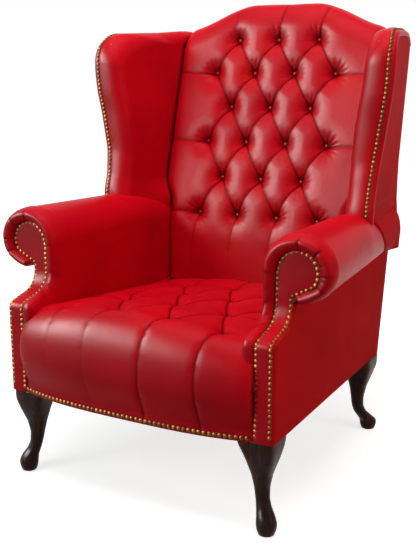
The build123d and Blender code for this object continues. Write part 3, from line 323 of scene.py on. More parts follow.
def side_pleats(rows, rise, start, end):
    """A pleat from the outer buttons of every second row to the side of the back or seat."""
    return [((bx, bs), (math.copysign(SIDE_PLEAT_END, bx), bs + rise), 0.0, start, end)
            for row in rows[1::2] for bx, bs in (row[0], row[-1])]


# Finishes


def new_material(name):
    """An empty node material, its node tree, and the place of a point in the chair."""
    material = bpy.data.materials.new(name)
    material.use_nodes = True
    tree = material.node_tree
    tree.nodes.clear()
    return material, tree, add(tree, "ShaderNodeTexCoord").outputs["Object"]


def add(tree, kind, settings=None, **links):
    """Add one node with its settings, then link or set its inputs by name."""
    item = tree.nodes.new(kind)
    for key, value in (settings or {}).items():
        setattr(item, key, value)
    for key, value in links.items():
        numbered = key[0] == "i" and key[1:].isdigit()
        socket = item.inputs[int(key[1:]) if numbered else key.replace("_", " ")]
        if isinstance(value, bpy.types.NodeSocket):
            tree.links.new(value, socket)
        else:
            socket.default_value = value
    return item


def surface(tree, **inputs):
    """The surface shader with its inputs, joined to the material's output."""
    shader = add(tree, "ShaderNodeBsdfPrincipled", **inputs)
    add(tree, "ShaderNodeOutputMaterial", i0=shader.outputs[0])


def ramp(tree, factor, stops):
    """A colour ramp between sRGB hex stops."""
    item = add(tree, "ShaderNodeValToRGB", i0=factor)
    while len(item.color_ramp.elements) < len(stops):
        item.color_ramp.elements.new(0.5)
    for element, (place, code) in zip(item.color_ramp.elements, stops):
        element.position = place
        element.color = linear(code)
    return item.outputs[0]


def between(tree, factor, low, high):
    """A value that runs evenly from low to high as the factor runs from 0 to 1."""
    return add(tree, "ShaderNodeMapRange", Value=factor, To_Min=low, To_Max=high).outputs[0]


def bump(tree, height, strength, distance, **below):
    """Fine relief that tilts the surface by the slope of a height."""
    return add(tree, "ShaderNodeBump", Height=height, Strength=strength, Distance=distance,
               **below).outputs[0]


def leather(name, lit, mid, worn, tucked=False, gloss=(0.34, 0.46)):
    """Aniline dyed hide, rolled with a fine grain and waxed: an even red with slow clouds of
    tone, grain cells of about 1.5 mm (drawn at 2.6 mm so that they show) and a soft gloss that
    breaks up where the hide is creased. Buttoned hide has painted shade: it is drawn darker and
    with less reflection in its folds and round its buttons."""
    material, tree, place = new_material(name)
    clouds = add(tree, "ShaderNodeTexNoise", Vector=place, Scale=7.0, Detail=3.0, Roughness=0.55)
    colour = ramp(tree, clouds.outputs["Fac"], [(0.3, mid), (0.55, lit), (0.8, worn)])
    # kept low, so that the white surroundings don't wash out the red
    mirrored = 0.045
    # painted shade: the colour is multiplied darker and the reflection turned down in the folds and
    # round the buttons, as far as the shade attribute says
    if tucked:
        fold_shade = add(tree, "ShaderNodeAttribute", {"attribute_name": "painted_shade"}).outputs["Fac"]
        colour = add(tree, "ShaderNodeMix", {"data_type": "RGBA", "blend_type": "MULTIPLY"},
                     Factor=fold_shade, A=colour, B=linear("#8A4048")).outputs["Result"]
        mirrored = between(tree, fold_shade, mirrored, 0.0)
    wear = add(tree, "ShaderNodeTexNoise", Vector=place, Scale=38.0, Detail=4.0)
    grain = add(tree, "ShaderNodeTexVoronoi", Vector=place, Scale=380.0)
    creases = add(tree, "ShaderNodeTexNoise", Vector=place, Scale=60.0, Detail=5.0,
                  Roughness=0.6, Distortion=0.4)
    low = bump(tree, creases.outputs["Fac"], 0.25, 0.0012)
    fine = bump(tree, grain.outputs["Distance"], 0.22, 0.0004, Normal=low)
    surface(tree, Base_Color=colour, Roughness=between(tree, wear.outputs["Fac"], *gloss),
            Normal=fine, IOR=1.5, Specular_IOR_Level=mirrored)
    return material


def wood(name, dark, mid, light, scale, rough):
    """Straight grained hardwood: long streaks along the height from stretched noise, pores, and
    stain rubbed thin in patches."""
    material, tree, place = new_material(name)
    stretched = add(tree, "ShaderNodeMapping", Vector=place, Scale=(scale, scale, scale * 0.09))
    streaks = add(tree, "ShaderNodeTexNoise", Vector=stretched.outputs[0], Scale=1.0, Detail=6.0,
                  Roughness=0.65, Distortion=0.8).outputs["Fac"]
    patches = add(tree, "ShaderNodeTexNoise", Vector=place, Scale=14.0, Detail=3.0)
    rubbed = add(tree, "ShaderNodeMath", {"operation": "MULTIPLY"}, i0=patches.outputs["Fac"],
                 i1=0.45)
    blend = add(tree, "ShaderNodeMath", {"operation": "MULTIPLY_ADD"}, i0=streaks, i1=0.55,
                i2=rubbed.outputs[0])
    surface(tree, Base_Color=ramp(tree, blend.outputs[0], [(0.36, dark), (0.52, mid), (0.66, light)]),
            Roughness=between(tree, streaks, rough - 0.06, rough + 0.1),
            Normal=bump(tree, streaks, 0.2, 0.0006), Specular_IOR_Level=0.07)
    return material


def metal(name, dark, light, rough, scale):
    """Bare or aged metal: two tones in small clouds and a satin gloss."""
    material, tree, place = new_material(name)
    clouds = add(tree, "ShaderNodeTexNoise", Vector=place, Scale=scale, Detail=3.0).outputs["Fac"]
    surface(tree, Base_Color=ramp(tree, clouds, [(0.35, dark), (0.65, light)]),
            Roughness=between(tree, clouds, rough, rough + 0.14), Metallic=1.0)
    return material


def woven(name, dark, light, pitch, rough=0.9):
    """Plain weave: two crossed sine waves, one thread pitch apart, with slubs of tone."""
    material, tree, place = new_material(name)
    warp, weft = (add(tree, "ShaderNodeTexWave", {"bands_direction": way}, Vector=place,
                      Scale=math.pi / (10 * pitch / 1000), Distortion=0.6).outputs["Fac"]
                  for way in ("X", "Y"))
    both = add(tree, "ShaderNodeMath", {"operation": "MULTIPLY"}, i0=warp, i1=weft).outputs[0]
    surface(tree, Base_Color=ramp(tree, both, [(0.05, dark), (0.6, light)]), Roughness=rough,
            Normal=bump(tree, both, 0.5, 0.0005))
    return material


def nylon(name, code, rough):
    """Moulded nylon: one deep tone with a faint matt texture."""
    material, tree, place = new_material(name)
    spark = add(tree, "ShaderNodeTexNoise", Vector=place, Scale=900.0)
    surface(tree, Base_Color=linear(code), Roughness=rough,
            Normal=bump(tree, spark.outputs["Fac"], 0.2, 0.0002))
    return material


REDS = ("#B80416", "#AC0315", "#C0080F")
HIDE = leather("red_aniline_leather", *REDS)
# buttoned hide, with painted shade in its folds and round its buttons
HIDE_WITH_PAINTED_SHADE = leather("red_aniline_leather_buttoned_painted_shade", *REDS, tucked=True)
PANEL_HIDE = leather("red_aniline_leather_flat_panels", "#B4080F", "#A8070E", "#BE100C",
                     gloss=(0.68, 0.8))
BUTTON_HIDE = leather("red_leather_stretched_on_buttons", "#A8101C", "#9E0C18", "#B21C26")
LEG_WOOD = wood("mahogany_stained_beech_waxed", "#120804", "#2A1208", "#6A3014", 90.0, 0.3)
FRAME_WOOD = wood("raw_beech_planed", "#B08A5E", "#C29C70", "#CFAE86", 70.0, 0.6)
BRASS = metal("antique_brass_pressed_nails", "#2A180C", "#5A3E20", 0.5, 160.0)
STEEL = metal("drawn_spring_steel", "#6E6E70", "#8D8D90", 0.35, 90.0)
HESSIAN = woven("jute_hessian_plain_weave", "#6E5433", "#A88A5C", 2.2)
WEBBING = woven("jute_webbing_tight_weave", "#8A744F", "#BCA67C", 1.6)
TWINE = woven("waxed_flax_twine", "#A3916C", "#CDBD9A", 0.6, 0.6)
DUST_CLOTH = woven("black_cotton_dust_cloth", "#070707", "#141414", 1.2)
NYLON = nylon("black_moulded_nylon", "#16110F", 0.5)

FINISHES = {
    "red_leather": HIDE, "button_leather": BUTTON_HIDE, "dark_leg_wood": LEG_WOOD,
    "frame_wood": FRAME_WOOD, "antique_brass": BRASS, "spring_steel": STEEL,
    "hessian": HESSIAN, "webbing": WEBBING, "button_twine": TWINE,
    "black_dust_cloth": DUST_CLOTH, "nylon_glide": NYLON,
}
for part in frame["record"]["subparts"]:
    node = frame["nodes"][part["node"]]
    node.data.materials.clear()
    node.data.materials.append(FINISHES[part["material_slot"]])


# Inside back: deep buttons in six rows, drawn into diamonds, under a rolled camel crest

BACK_PITCH = 117.8
BACK_TOP_ROW = 1036.7
BACK_DROPS = (0.0, 88.4, 91.05, 93.7, 96.35, 99.0)
BACK_ROWS = [button_row(count, BACK_PITCH, BACK_TOP_ROW - sum(BACK_DROPS[:number + 1]))
             for number, count in enumerate((3, 4, 3, 4, 3, 4))]
# Where the pleats over the crest bend and end, and where those below the last row do
CREST_BEND_X, CREST_END_X = (-128, 8, 128), (-138, 18, 148)
CREST_BEND_S, CREST_END_S = 1090.0, 1190.0
LOW_BEND_X = (-190, -72, 46, 170)
LOW_BEND_S, LOW_END_S, LOW_DRIFT = 470.0, 390.0, 4


def back_pleats():
    """Diamond pleats between rows, side pleats to the wings, pleats over the crest and down."""
    folds = diamond_pleats(BACK_ROWS, BACK_PITCH, 4.5) + side_pleats(BACK_ROWS, 3.0, 0.9, 0.5)
    for button, bend_x, end_x in zip(BACK_ROWS[0], CREST_BEND_X, CREST_END_X):
        strength = 0.25 if bend_x < 0 else 0.75
        bend = (bend_x, CREST_BEND_S)
        folds.append((button, bend, 0.0, 0.9, strength))
        folds.append((bend, (end_x, CREST_END_S), 0.0, strength, 0.5 * strength))
    for button, bend_x in zip(BACK_ROWS[-1], LOW_BEND_X):
        bend = (bend_x, LOW_BEND_S)
        folds.append((button, bend, 0.0, 0.8, 0.35))
        folds.append((bend, (bend_x - LOW_DRIFT, LOW_END_S), 0.0, 0.35, 0.0))
    return folds


def inside_back():
    """Columns across the back; each is a loop up the front, over the crest roll as two quarter
    ellipses, and down the rear. The front is drawn in by the pleats along its own normal, and
    its sides fall away in a quarter circle beside the wings."""
    roll_rise, roll_girth, roll_fill = 60.0, 76.0, 16.8
    lip, lip_girth = 33.0, 60.0
    pleat_reach, pleat_depth, pad_reach, pad_depth = 20.0, 2.8, 52.0, 4.2
    cone_reach, cone_depth, funnel_reach, funnel_depth = 72.0, 10.0, 38.0, 11.0
    crease_reach, crease_height, shade = 52.0, 1.3, 15.0
    side_roll, side_fall = 26.0, 19.0
    tail_drop, tail_depth = 40.0, 52.0
    # heights between which the pleats grow calm and end, and the side roll grows shallow
    calm_zone, end_zone, side_zone = (1080, 1130), (1150, 1180), (1100, 1190)
    u = np.linspace(-1, 1, 214)
    u = np.sign(u) * (1 - (1 - np.abs(u)) ** 1.12)
    columns_x = u[:, None] * BACK_HALF
    top = crest_z(columns_x)
    start, end = top - roll_rise, top - lip
    front_z = BACK_LOW + (start - BACK_LOW) * np.linspace(0, 1, 262)[None, :]
    psi = np.linspace(0, math.pi / 2, 24)[None, 1:]
    turned = psi / (math.pi / 2)
    crown_y = (pillow_y(start) + rear_y(end)) / 2
    arc_y = crown_y - (crown_y - pillow_y(start)) * np.cos(psi)
    arc_y = arc_y + roll_fill * np.sin(psi) * np.cos(psi) ** 2
    back_y = crown_y + (rear_y(end) - crown_y) * np.sin(psi)
    y = np.concatenate([pillow_y(front_z), arc_y, back_y], 1)
    z = np.concatenate([front_z, start + roll_rise * np.sin(psi), end + lip * np.cos(psi)], 1)
    s = np.concatenate([front_z, start + roll_girth * turned,
                        start + roll_girth + lip_girth * turned], 1)
    width = back_side(z, BACK_HALF, BACK_LOW_HALF)
    x = u[:, None] * width
    base = np.stack([x, y, z], -1)
    out = normals(base)
    if out[100, 100, 1] > 0:
        out = -out
    sharp, fold_shade = pleat_field(x, s, back_pleats(), pleat_reach, 0.5)
    broad, _ = pleat_field(x, s, back_pleats(), pad_reach, 0.9)
    buttons = [b for row in BACK_ROWS for b in row]
    cone, funnel, lift, button_shade_distance = funnels(x, s, buttons, cone_reach, funnel_reach, crease_reach)
    calm = (1 - 0.6 * ease(s, *calm_zone)) * (1 - ease(s, *end_zone))
    inward = (pleat_depth * sharp + pad_depth * broad) * calm
    inward += cone_depth * cone + funnel_depth * funnel - crease_height * lift
    ring = np.clip((np.abs(x) - (width - side_roll)) / side_roll, 0, 1)
    edge = side_fall * (1 - np.sqrt(1 - ring ** 2 * 0.999))
    inward += edge * (0.9 - 0.45 * ease(s, *side_zone))
    points = base - out * inward[..., None]
    tail = top - tail_drop
    close = [(columns_x, rear_y(tail), tail), (columns_x, rear_y(tail) - tail_depth, tail),
             (columns_x * width[:, :1] / BACK_HALF, rear_y(BACK_LOW) - tail_depth + 0 * tail,
              BACK_LOW + 0 * tail)]
    points = np.concatenate([points] + [np.stack(way, -1) for way in close], 1)
    # painted shade along the folds and round a point just above each button; shade is its radius
    painted_shade = np.clip(0.9 * fold_shade + 0.9 * np.exp(-(button_shade_distance / shade) ** 2), 0, 1)
    painted_shade = np.concatenate([painted_shade, np.zeros((len(u), len(close)))], 1)
    return make("inside_back", points, HIDE_WITH_PAINTED_SHADE, closed=True, painted_shade=painted_shade)


# Seat: crowned, buttoned, with a rolled and bowed front drawn down in long pleats

SEAT_PITCH = 135.0
SEAT_FIRST_ROW = 55.0
SEAT_ROW_GAP = 145.0
SEAT_REAR = 639.0
SEAT_ROWS = [button_row(count, SEAT_PITCH, SEAT_FIRST_ROW + SEAT_ROW_GAP * number)
             for number, count in enumerate((4, 3, 4, 3))]
# Front pleats as chains of points: across, distance back from the bow line (less than 0 on the
# way down the front), and strength
FRONT_PLEATS = [
    [(-202.5, 76, 0.8), (-203, 30, 0.4), (-206, -20, 0.3), (-208, -80, 0.16), (-206, -150, 0.0)],
    [(-67.5, 85, 1.0), (-80, 40, 0.6), (-95, -15, 0.35), (-101, -80, 0.25), (-93, -150, 0.15),
     (-86, -222, 0.1)],
    [(67.5, 85, 1.0), (60, 40, 0.9), (53, -15, 0.9), (48, -80, 0.8), (48, -150, 0.8),
     (51, -222, 0.8)],
    [(202.5, 76, 1.0), (195, 40, 0.9), (187, -15, 0.9), (182, -80, 0.8), (183, -150, 0.8),
     (187, -222, 0.8)],
]


def seat_pleats():
    """Diamond pleats of the seat top, with side pleats into the arms and the back."""
    folds = diamond_pleats(SEAT_ROWS, SEAT_PITCH, -6.0) + side_pleats(SEAT_ROWS, 0.0, 0.8, 0.4)
    return folds + [((bx, bd), (bx, SEAT_REAR + 1), 0.0, 0.8, 0.5) for bx, bd in SEAT_ROWS[-1]]


def front_chains():
    """The front pleats as single straight folds between the points of each chain."""
    return [((x0, s0), (x1, s1), 0.0, a, b) for chain in FRONT_PLEATS
            for (x0, s0, a), (x1, s1, b) in zip(chain[:-1], chain[1:])]


def seat():
    """Columns across the seat; each is a loop from the rear over the crowned top, round the
    front roll as a quarter superellipse, down to the rail with a bulge that is a cosine of the
    way down, and back under."""
    top_half, roll_start, roll_depth, roll_low = 265.7, 65.0, 87.0, 320.0
    bulge, roll_girth, face_girth = 22.0, 178.0, 103.0
    pleat_reach, pleat_depth, pad_reach, pad_depth = 22.0, 3.0, 58.0, 5.0
    cone_reach, cone_depth, funnel_reach, funnel_depth = 74.0, 9.0, 36.0, 7.0
    crease_reach, crease_height, shade = 58.0, 1.2, 13.0
    front_reach, front_shallow, front_deep = 20.0, 5.0, 9.0
    side_roll, side_fall, front_side_fall, rear_fall = 26.0, 9.0, 3.0, 24.0
    rail_inset, hollow_z = 14.0, 299.0
    top_columns = 188
    u = np.linspace(-1, 1, 210)[:, None]
    flat_x = u * SEAT_HALF
    low = bow_depth(flat_x)
    roll = low + roll_start
    top_d = SEAT_REAR + (roll - SEAT_REAR) * np.linspace(0, 1, top_columns)[None, :]
    top_x = u * (top_half + (SEAT_HALF - top_half) * (1 - ease(top_d, 62, 100)))
    phi = np.linspace(0, math.pi / 2, 40)[None, 1:]
    start_z = seat_z(flat_x, roll)
    arc_d = roll - roll_depth * np.sin(phi) ** 0.833
    arc_z = roll_low + (start_z - roll_low) * np.abs(np.cos(phi)) ** 0.833
    fall = np.linspace(0, 1, 62)[None, 1:]
    face_d = low - bulge * np.cos(np.minimum(fall / 0.78, 1) * math.pi / 2).clip(0) ** 1.4
    face_z = roll_low - (roll_low - LEG_HEIGHT) * fall
    d = np.concatenate([top_d, arc_d, face_d], 1)
    z = np.concatenate([seat_z(top_x, top_d), arc_z, face_z + 0 * low], 1)
    x = np.concatenate([top_x, flat_x + 0 * arc_d, flat_x + 0 * face_d], 1)
    forward = np.concatenate([top_d - low, roll_start - roll_girth * phi / (math.pi / 2) + 0 * low,
                              roll_start - roll_girth - face_girth * fall + 0 * low], 1)
    base = np.stack([x, d + FRONT, z], -1)
    out = normals(base)
    if out[100, 60, 2] < 0:
        out = -out
    place = forward + low
    sharp, fold_shade = pleat_field(x, place, seat_pleats(), pleat_reach, 0.5)
    broad, _ = pleat_field(x, place, seat_pleats(), pad_reach, 0.9)
    front, front_fold_shade = pleat_field(x, forward, front_chains(), front_reach, 0.5)
    buttons = [b for row in SEAT_ROWS for b in row]
    cone, funnel, lift, button_shade_distance = funnels(x, place, buttons, cone_reach, funnel_reach, crease_reach)
    on_top = ease(forward, 20, 75)
    behind = ease(forward, -30, 60)
    ring = np.clip((np.abs(x) - (np.abs(x[-1:]) - side_roll)) / side_roll, 0, 1)
    edge = side_fall * (1 - np.sqrt(1 - 0.999 * ring ** 2)) * behind
    edge += front_side_fall * ring ** 2 * (1 - behind)
    edge[:, :top_columns] += rear_fall * ease(top_d[:1], 590, 640)
    front_depth = front_shallow + (front_deep - front_shallow) * ease(forward, 0, 80)
    inward = (pleat_depth * sharp + pad_depth * broad - crease_height * lift) * on_top
    inward += cone_depth * cone + funnel_depth * funnel
    inward += (front_depth * front + edge) * ease(z, LEG_HEIGHT, 240)
    points = base - out * inward[..., None]
    under = [(flat_x, FRONT + low + rail_inset, 0 * low + LEG_HEIGHT),
             (flat_x, FRONT + low + rail_inset, 0 * low + hollow_z),
             (u * top_half, 0 * low + FRONT + SEAT_REAR, 0 * low + hollow_z)]
    points = np.concatenate([points] + [np.stack(way, -1) for way in under], 1)
    # painted shade along the top folds, the front pleats and round a point just above each button;
    # shade is its radius
    painted_shade = np.maximum(fold_shade * on_top, 0.9 * front_fold_shade) + 0.6 * np.exp(-(button_shade_distance / shade) ** 2)
    painted_shade = np.concatenate([np.clip(painted_shade, 0, 1), np.zeros((len(u), len(under)))], 1)
    return make("seat", points, HIDE_WITH_PAINTED_SHADE, closed=True, painted_shade=painted_shade)


# Arms: leather rolled over the arm, gathered round the scroll in front

# Front edge of the arm beside the facing, seen from the side, as depth and height: up the post,
# round the shelf and the neck, and up to the middle of the scroll
SHELF_TURN = np.radians(np.linspace(180, 104.6, 12))
NECK_TURN = np.radians(np.linspace(-75.4, 0, 18))
SWEEP = [(0.0, LEG_HEIGHT)]
SWEEP += [(14 + 14 * math.cos(a), 417.2 + 14 * math.sin(a)) for a in SHELF_TURN]
SWEEP += [(46 + 50 * math.cos(a), 491.6 + 50 * math.sin(a)) for a in NECK_TURN]
SWEEP += [(SCROLL_DEPTH, 558.0)]
# The roll by depth: its outermost line, top, middle height, and half width at its ridge
ARM_STATIONS = ((0, 433, 640, 565, 350), (80, 433, 640, 565, 350), (400, 405, 632, 565, 350),
                (692, 368, 612, 541, 326), (760, 359, 607, 535, 320))
ROLL_OUTER, ROLL_TOP, ROLL_MIDDLE, ROLL_UNDER = 433.0, 640.0, 565.0, 492.0
SCROLL_END = math.radians(-32)
NECK = np.array([341.5, 508.0])


def roll_at(depth):
    """Outermost line, top, middle and ridge of the roll, in straight lines between stations."""
    stations = np.array(ARM_STATIONS, float)
    return [np.interp(depth, stations[:, 0], stations[:, k]) for k in (1, 2, 3, 4)]


def scroll_edge(theta):
    """Edge of the facing's scroll at an angle: a circle, then a straight run to the neck."""
    ring = SCROLL + SCROLL_RADIUS * np.stack([np.cos(theta), np.sin(theta)], -1)
    corner = SCROLL + SCROLL_RADIUS * np.array([math.cos(SCROLL_END), math.sin(SCROLL_END)])
    share = np.clip((SCROLL_END - theta) / math.radians(68), 0, 1)[..., None]
    line = corner + share * (NECK - corner)
    return np.where(theta[..., None] >= SCROLL_END, ring, line)


def roll_edge(theta):
    """Outer curve of the arm roll at the front, by angle about the scroll's centre: straight up
    the inside, three quarter ellipses over and round, and a straight tail under the roll."""
    quarter = np.linspace(0, math.pi / 2, 60)
    inner = np.stack([np.full(20, ARM_INNER), np.linspace(480, 562, 20)], -1)
    over = np.stack([350 - 83.7 * np.cos(quarter), 562 + 78.0 * np.sin(quarter)], -1)
    outer = np.stack([350 + 83.0 * np.sin(quarter), 565 + 75.0 * np.cos(quarter)], -1)
    under = np.stack([350 + 83.0 * np.cos(quarter), 565 - 73.0 * np.sin(quarter)], -1)
    tail = np.stack([np.linspace(350, 338, 8), np.linspace(492, 494, 8)], -1)
    curve = np.concatenate([inner, over[1:], outer[1:], under[1:], tail[1:]])
    angle = np.unwrap(np.arctan2(curve[:, 1] - SCROLL[1], curve[:, 0] - SCROLL[0]))
    if angle[0] < 0:
        angle = angle + 2 * math.pi
    order = np.argsort(angle)
    return np.stack([np.interp(theta, angle[order], curve[order, k]) for k in (0, 1)], -1)


def arm_section(front, depth):
    """The front section of the arm carried back: width and heights shrink along the stations."""
    outer, top, middle, _ = roll_at(depth)
    x = ARM_INNER + (front[..., 0] - ARM_INNER) * (outer - ARM_INNER) / (ROLL_OUTER - ARM_INNER)
    rise = front[..., 1] - ROLL_MIDDLE
    up = middle + rise * (top - middle) / (ROLL_TOP - ROLL_MIDDLE)
    down = middle + rise * (middle - ROLL_UNDER) / (ROLL_MIDDLE - ROLL_UNDER)
    kept = front[..., 1] + (middle - ROLL_MIDDLE) * ease(front[..., 1], 430, ROLL_MIDDLE)
    rolled = ease(front[..., 0], 266, 300)
    return x, np.where(rise > 0, up, rolled * down + (1 - rolled) * kept)


def arm(mirror):
    """Rows run along the arm, the first ones from the post's edge and the others from the
    scroll's. Each swells forward over a half ellipse, turns the corner, and runs back to the
    post of the back. The foot of the arm is drawn shut towards the seat."""
    post_rows, scroll_rows = 70, 169
    foot, post_x, arm_end = 322.0, 299.0, 692.0
    foot_sag, inner_swell = 46.0, 2.5
    post = along([(post_x, d, z) for d, z in [(0.0, foot)] + SWEEP[1:]],
                 np.linspace(0, 1, post_rows))
    slope = np.gradient(post, axis=0)
    theta = np.radians(np.linspace(180, -100, scroll_rows + 1))[1:]
    edge = scroll_edge(theta)
    seam = np.concatenate([post, np.stack([edge[:, 0], 0 * theta + SCROLL_DEPTH, edge[:, 1]], -1)])
    outer_front = np.concatenate([np.stack([0 * post[:, 0] + ARM_INNER, post[:, 2]], -1),
                                  roll_edge(theta)])
    out_d = np.concatenate([-slope[:, 2], 0 * theta - 1])
    out_z = np.concatenate([slope[:, 1], 0 * theta])
    size = np.hypot(out_d, out_z)
    out_d, out_z = (out_d / size)[:, None], (out_z / size)[:, None]
    count = len(seam)
    proud = np.concatenate([np.linspace(5, 15, post_rows), np.full(scroll_rows, 17.0)])[:, None]
    turn = np.concatenate([np.linspace(26, 62, post_rows),
                           26 + 36 * np.linspace(1, 0, scroll_rows) ** 1.6])[:, None]
    phi = np.linspace(0, math.pi / 2, 15)[None, :]
    radial = 0.5 * np.concatenate([1 - np.cos(phi), 1 + np.sin(phi[:, 1:])], 1)
    shut = np.concatenate([ease(post[:, 2], 318, 412), ease(np.degrees(theta), -99, -78)])[:, None]
    forward = shut * np.concatenate([proud * np.sin(phi), proud - turn * (1 - np.cos(phi[:, 1:]))], 1)
    spread = (outer_front - seam[:, [0, 2]]) * shut
    ring_x = seam[:, :1] + spread[:, :1] * radial
    ring_z = seam[:, 2:] + spread[:, 1:] * radial + out_z * forward
    ring_d = seam[:, 1:2] + out_d * forward
    # gathers pressed into the front ring: small sharp creases at set angles round the scroll,
    # and at set places on the way up the post
    angle = np.concatenate([np.full(post_rows, math.pi), theta])
    walk = np.concatenate([np.linspace(-1.2, 0, post_rows), (math.pi - theta) * 80 / 100])
    crease = np.zeros((count, radial.shape[1]))
    for place, strength in ((87, 2.6), (46, 3.0), (1, 1.6), (-27, 2.2), (-8, 1.0), (22, 0.8)):
        gap = np.abs(np.degrees(angle) - place)[:, None]
        band = ease(radial, 0.02, 0.2) * (1 - ease(radial, 0.5, 0.95))
        crease += strength * np.exp(-gap / 2.2) * band
    for place, strength in ((-0.5, 1.6), (-0.36, 1.2), (-0.22, 1.5), (-0.1, 0.8)):
        gap = np.abs(walk[:, None] - place + 0.12 * radial)
        band = ease(radial, 0.05, 0.3) * (1 - ease(radial, 0.7, 1.0))
        crease += strength * np.exp(-gap / 0.025) * band
    ring_d = ring_d - out_d * crease
    ring_z = ring_z - out_z * crease
    share = np.linspace(0, 1, 76)[None, 1:] ** 1.15
    body_d = ring_d[:, -1:] + (arm_end - ring_d[:, -1:]) * share
    start = np.stack([ring_x[:, -1:], ring_z[:, -1:]], -1) + 0 * share[..., None]
    body_x, body_z = arm_section(start, body_d)
    low_down = np.clip((SCROLL[1] - seam[:, 2:]) / 139.0, 0, 1)
    low_down = low_down * (np.arange(count)[:, None] < post_rows)
    body_z = body_z - foot_sag * low_down * ease(body_d, 60, 560)
    swell = np.sin(np.clip(share, 0, 1) * math.pi) ** 0.7
    body_x = body_x - inner_swell * swell * (1 - ease(np.arange(count), 40, 125))[:, None]
    x = np.concatenate([ring_x, body_x], 1)
    d = np.concatenate([ring_d, body_d], 1)
    z = np.concatenate([ring_z, body_z], 1)
    # painted shade in the gathers of the front ring, by how deep each crease is
    painted_shade = np.concatenate([np.clip(crease / 3.0, 0, 1), np.zeros_like(body_x)], 1)
    return make(on_side("arm", mirror), np.stack([x, d + FRONT, z], -1), HIDE_WITH_PAINTED_SHADE,
                inside=(330.0, -100.0, 550.0), thick=4.0, painted_shade=painted_shade, mirror=mirror)


def facing(mirror):
    """Leather covered facing: rows follow the swept front of the arm, edges follow the post and
    the scroll, and the middle swells by 2.6 mm, 1 - |t|^3 across."""
    post = along(SWEEP, np.linspace(0, 1, 120))
    line = scroll_edge(np.radians(np.linspace(-100, SCROLL_END * 180 / math.pi, 40)))
    height = post[:, 1]
    right = np.interp(height, line[:, 1], line[:, 0])
    across = np.sqrt(np.maximum(SCROLL_RADIUS ** 2 - (height - SCROLL[1]) ** 2, 0))
    right = np.where(height > line[-1, 1], SCROLL[0] + across, right)
    right = np.where(height < NECK[1], 341.0, right)
    top_turn = np.linspace(0, math.pi / 2, 40)[1:]
    top_half = SCROLL_RADIUS * np.cos(top_turn)
    left = np.concatenate([0 * height + 299.2, SCROLL[0] - top_half - 1.8 * np.cos(top_turn)])
    right = np.concatenate([right, SCROLL[0] + top_half])
    width = (right - left)[:, None]
    depth = np.concatenate([post[:, 0], 0 * top_turn + SCROLL_DEPTH])
    z = np.concatenate([height, SCROLL[1] + SCROLL_RADIUS * np.sin(top_turn) * 0.995])
    slope = np.gradient(np.stack([depth, z], -1), axis=0)
    slope = slope / np.hypot(slope[:, :1], slope[:, 1:])
    w = np.linspace(0, 1, 26)[None, :]
    swell = 2.6 * (1 - np.abs(2 * w - 1) ** 3) * np.minimum(1, width / 30)
    x = left[:, None] + width * w
    d = depth[:, None] - slope[:, 1:] * swell - 0.4
    z = z[:, None] + slope[:, :1] * swell
    return make(on_side("facing", mirror), np.stack([x, d + FRONT, z], -1), HIDE,
                inside=(330.0, 0.0, 450.0), thick=4.0, mirror=mirror)


def outside_arm(mirror):
    """Flat outside arm cover: its front edge follows the sweep and turns in over 7 mm, and its
    middle swells by 3 mm, a sine both ways. At the rear its top goes up behind the roll."""
    turned_in, swelled, rear_top = 7.0, 3.0, 516.0
    front = along([p for p in SWEEP if p[1] <= 500], np.linspace(0, 1, 90))
    front[:, 1] = np.minimum(front[:, 1], ROLL_UNDER)
    rear_z = np.linspace(LEG_HEIGHT, rear_top, 90)
    share = np.concatenate([np.linspace(0, 0.03, 8), np.linspace(0.03, 1, 60)[1:]])[None, :]
    z = front[:, 1:] + (rear_z[:, None] - front[:, 1:]) * share
    d = front[:, :1] + (rear_y(z) - FRONT - 4.0 - front[:, :1]) * share
    q = np.clip(1 - share / 0.02, 0, 1)
    turn = turned_in * (1 - np.sqrt(1 - 0.999 * q ** 2))
    swell = swelled * np.sin(np.pi * np.clip(share, 0, 1)) * np.sin(np.pi * (z - LEG_HEIGHT) / 290.0)
    x = side_x(d) - turn + swell
    return make(on_side("outside_arm", mirror), np.stack([x, d + FRONT, z], -1), PANEL_HIDE,
                inside=(300.0, 0.0, 350.0), thick=3.5, mirror=mirror)


# Wings

# Front edge as shares: height above the arm, how far it flares out, how far it bows back
WING_LEVELS = [(0.02, 0.03, -1), (0.12, 0, -0.24), (0.28, 0.15, 0.47), (0.52, 0.6, 0.35),
               (0.64, 0.85, 0.06), (0.76, 1, 0), (0.88, 1, 0), (1.15, 0.9, 0)]
NAIL_X = [(631 + 420 * h, 371 + 33 * f) for h, f, b in WING_LEVELS]
NAIL_D = [(631 + 420 * h, 464 + 17 * b) for h, f, b in WING_LEVELS]
CORNER = 76.0
CORNER_Z = 1051.0 - CORNER
CORNER_D = 464.0 + CORNER
# Top of the wing's outer edge as depth and height, with a rounded rear corner
WING_TOP = [(540, 1051), (610, 1053.5), (690, 1057), (760, 1056), (800, 1053), (832, 1046),
            (850, 1034), (854, 1022)]
# Half width at the rear edge, by height: that of the outside back, with a flare above the arm
REAR_WIDTH = [(530, 364), (545, 363), (579, 351), (627, 343.5), (671, 340), (720, 337), (1035, 333)]
NAIL_PITCH = 10.7


def nail_d(z):
    """Depth of the wing's nail line at a height."""
    return soft(z, NAIL_D, 22)


def cover_rear_x(z):
    """Half width at the rear edge: a smoothed broken line from 364 at the arm's roll to 333."""
    return soft(z, REAR_WIDTH, 8)


def cover_x(depth, z):
    """Outer face of the wing: straight from the front corner to the rear edge."""
    front_d = nail_d(z) + 15.0
    front_x = soft(z, NAIL_X, 22) + 12.0
    rear_d = rear_y(z) - FRONT
    share = np.clip((depth - front_d) / (rear_d - front_d), 0, 1)
    return front_x + (cover_rear_x(z) - front_x) * share


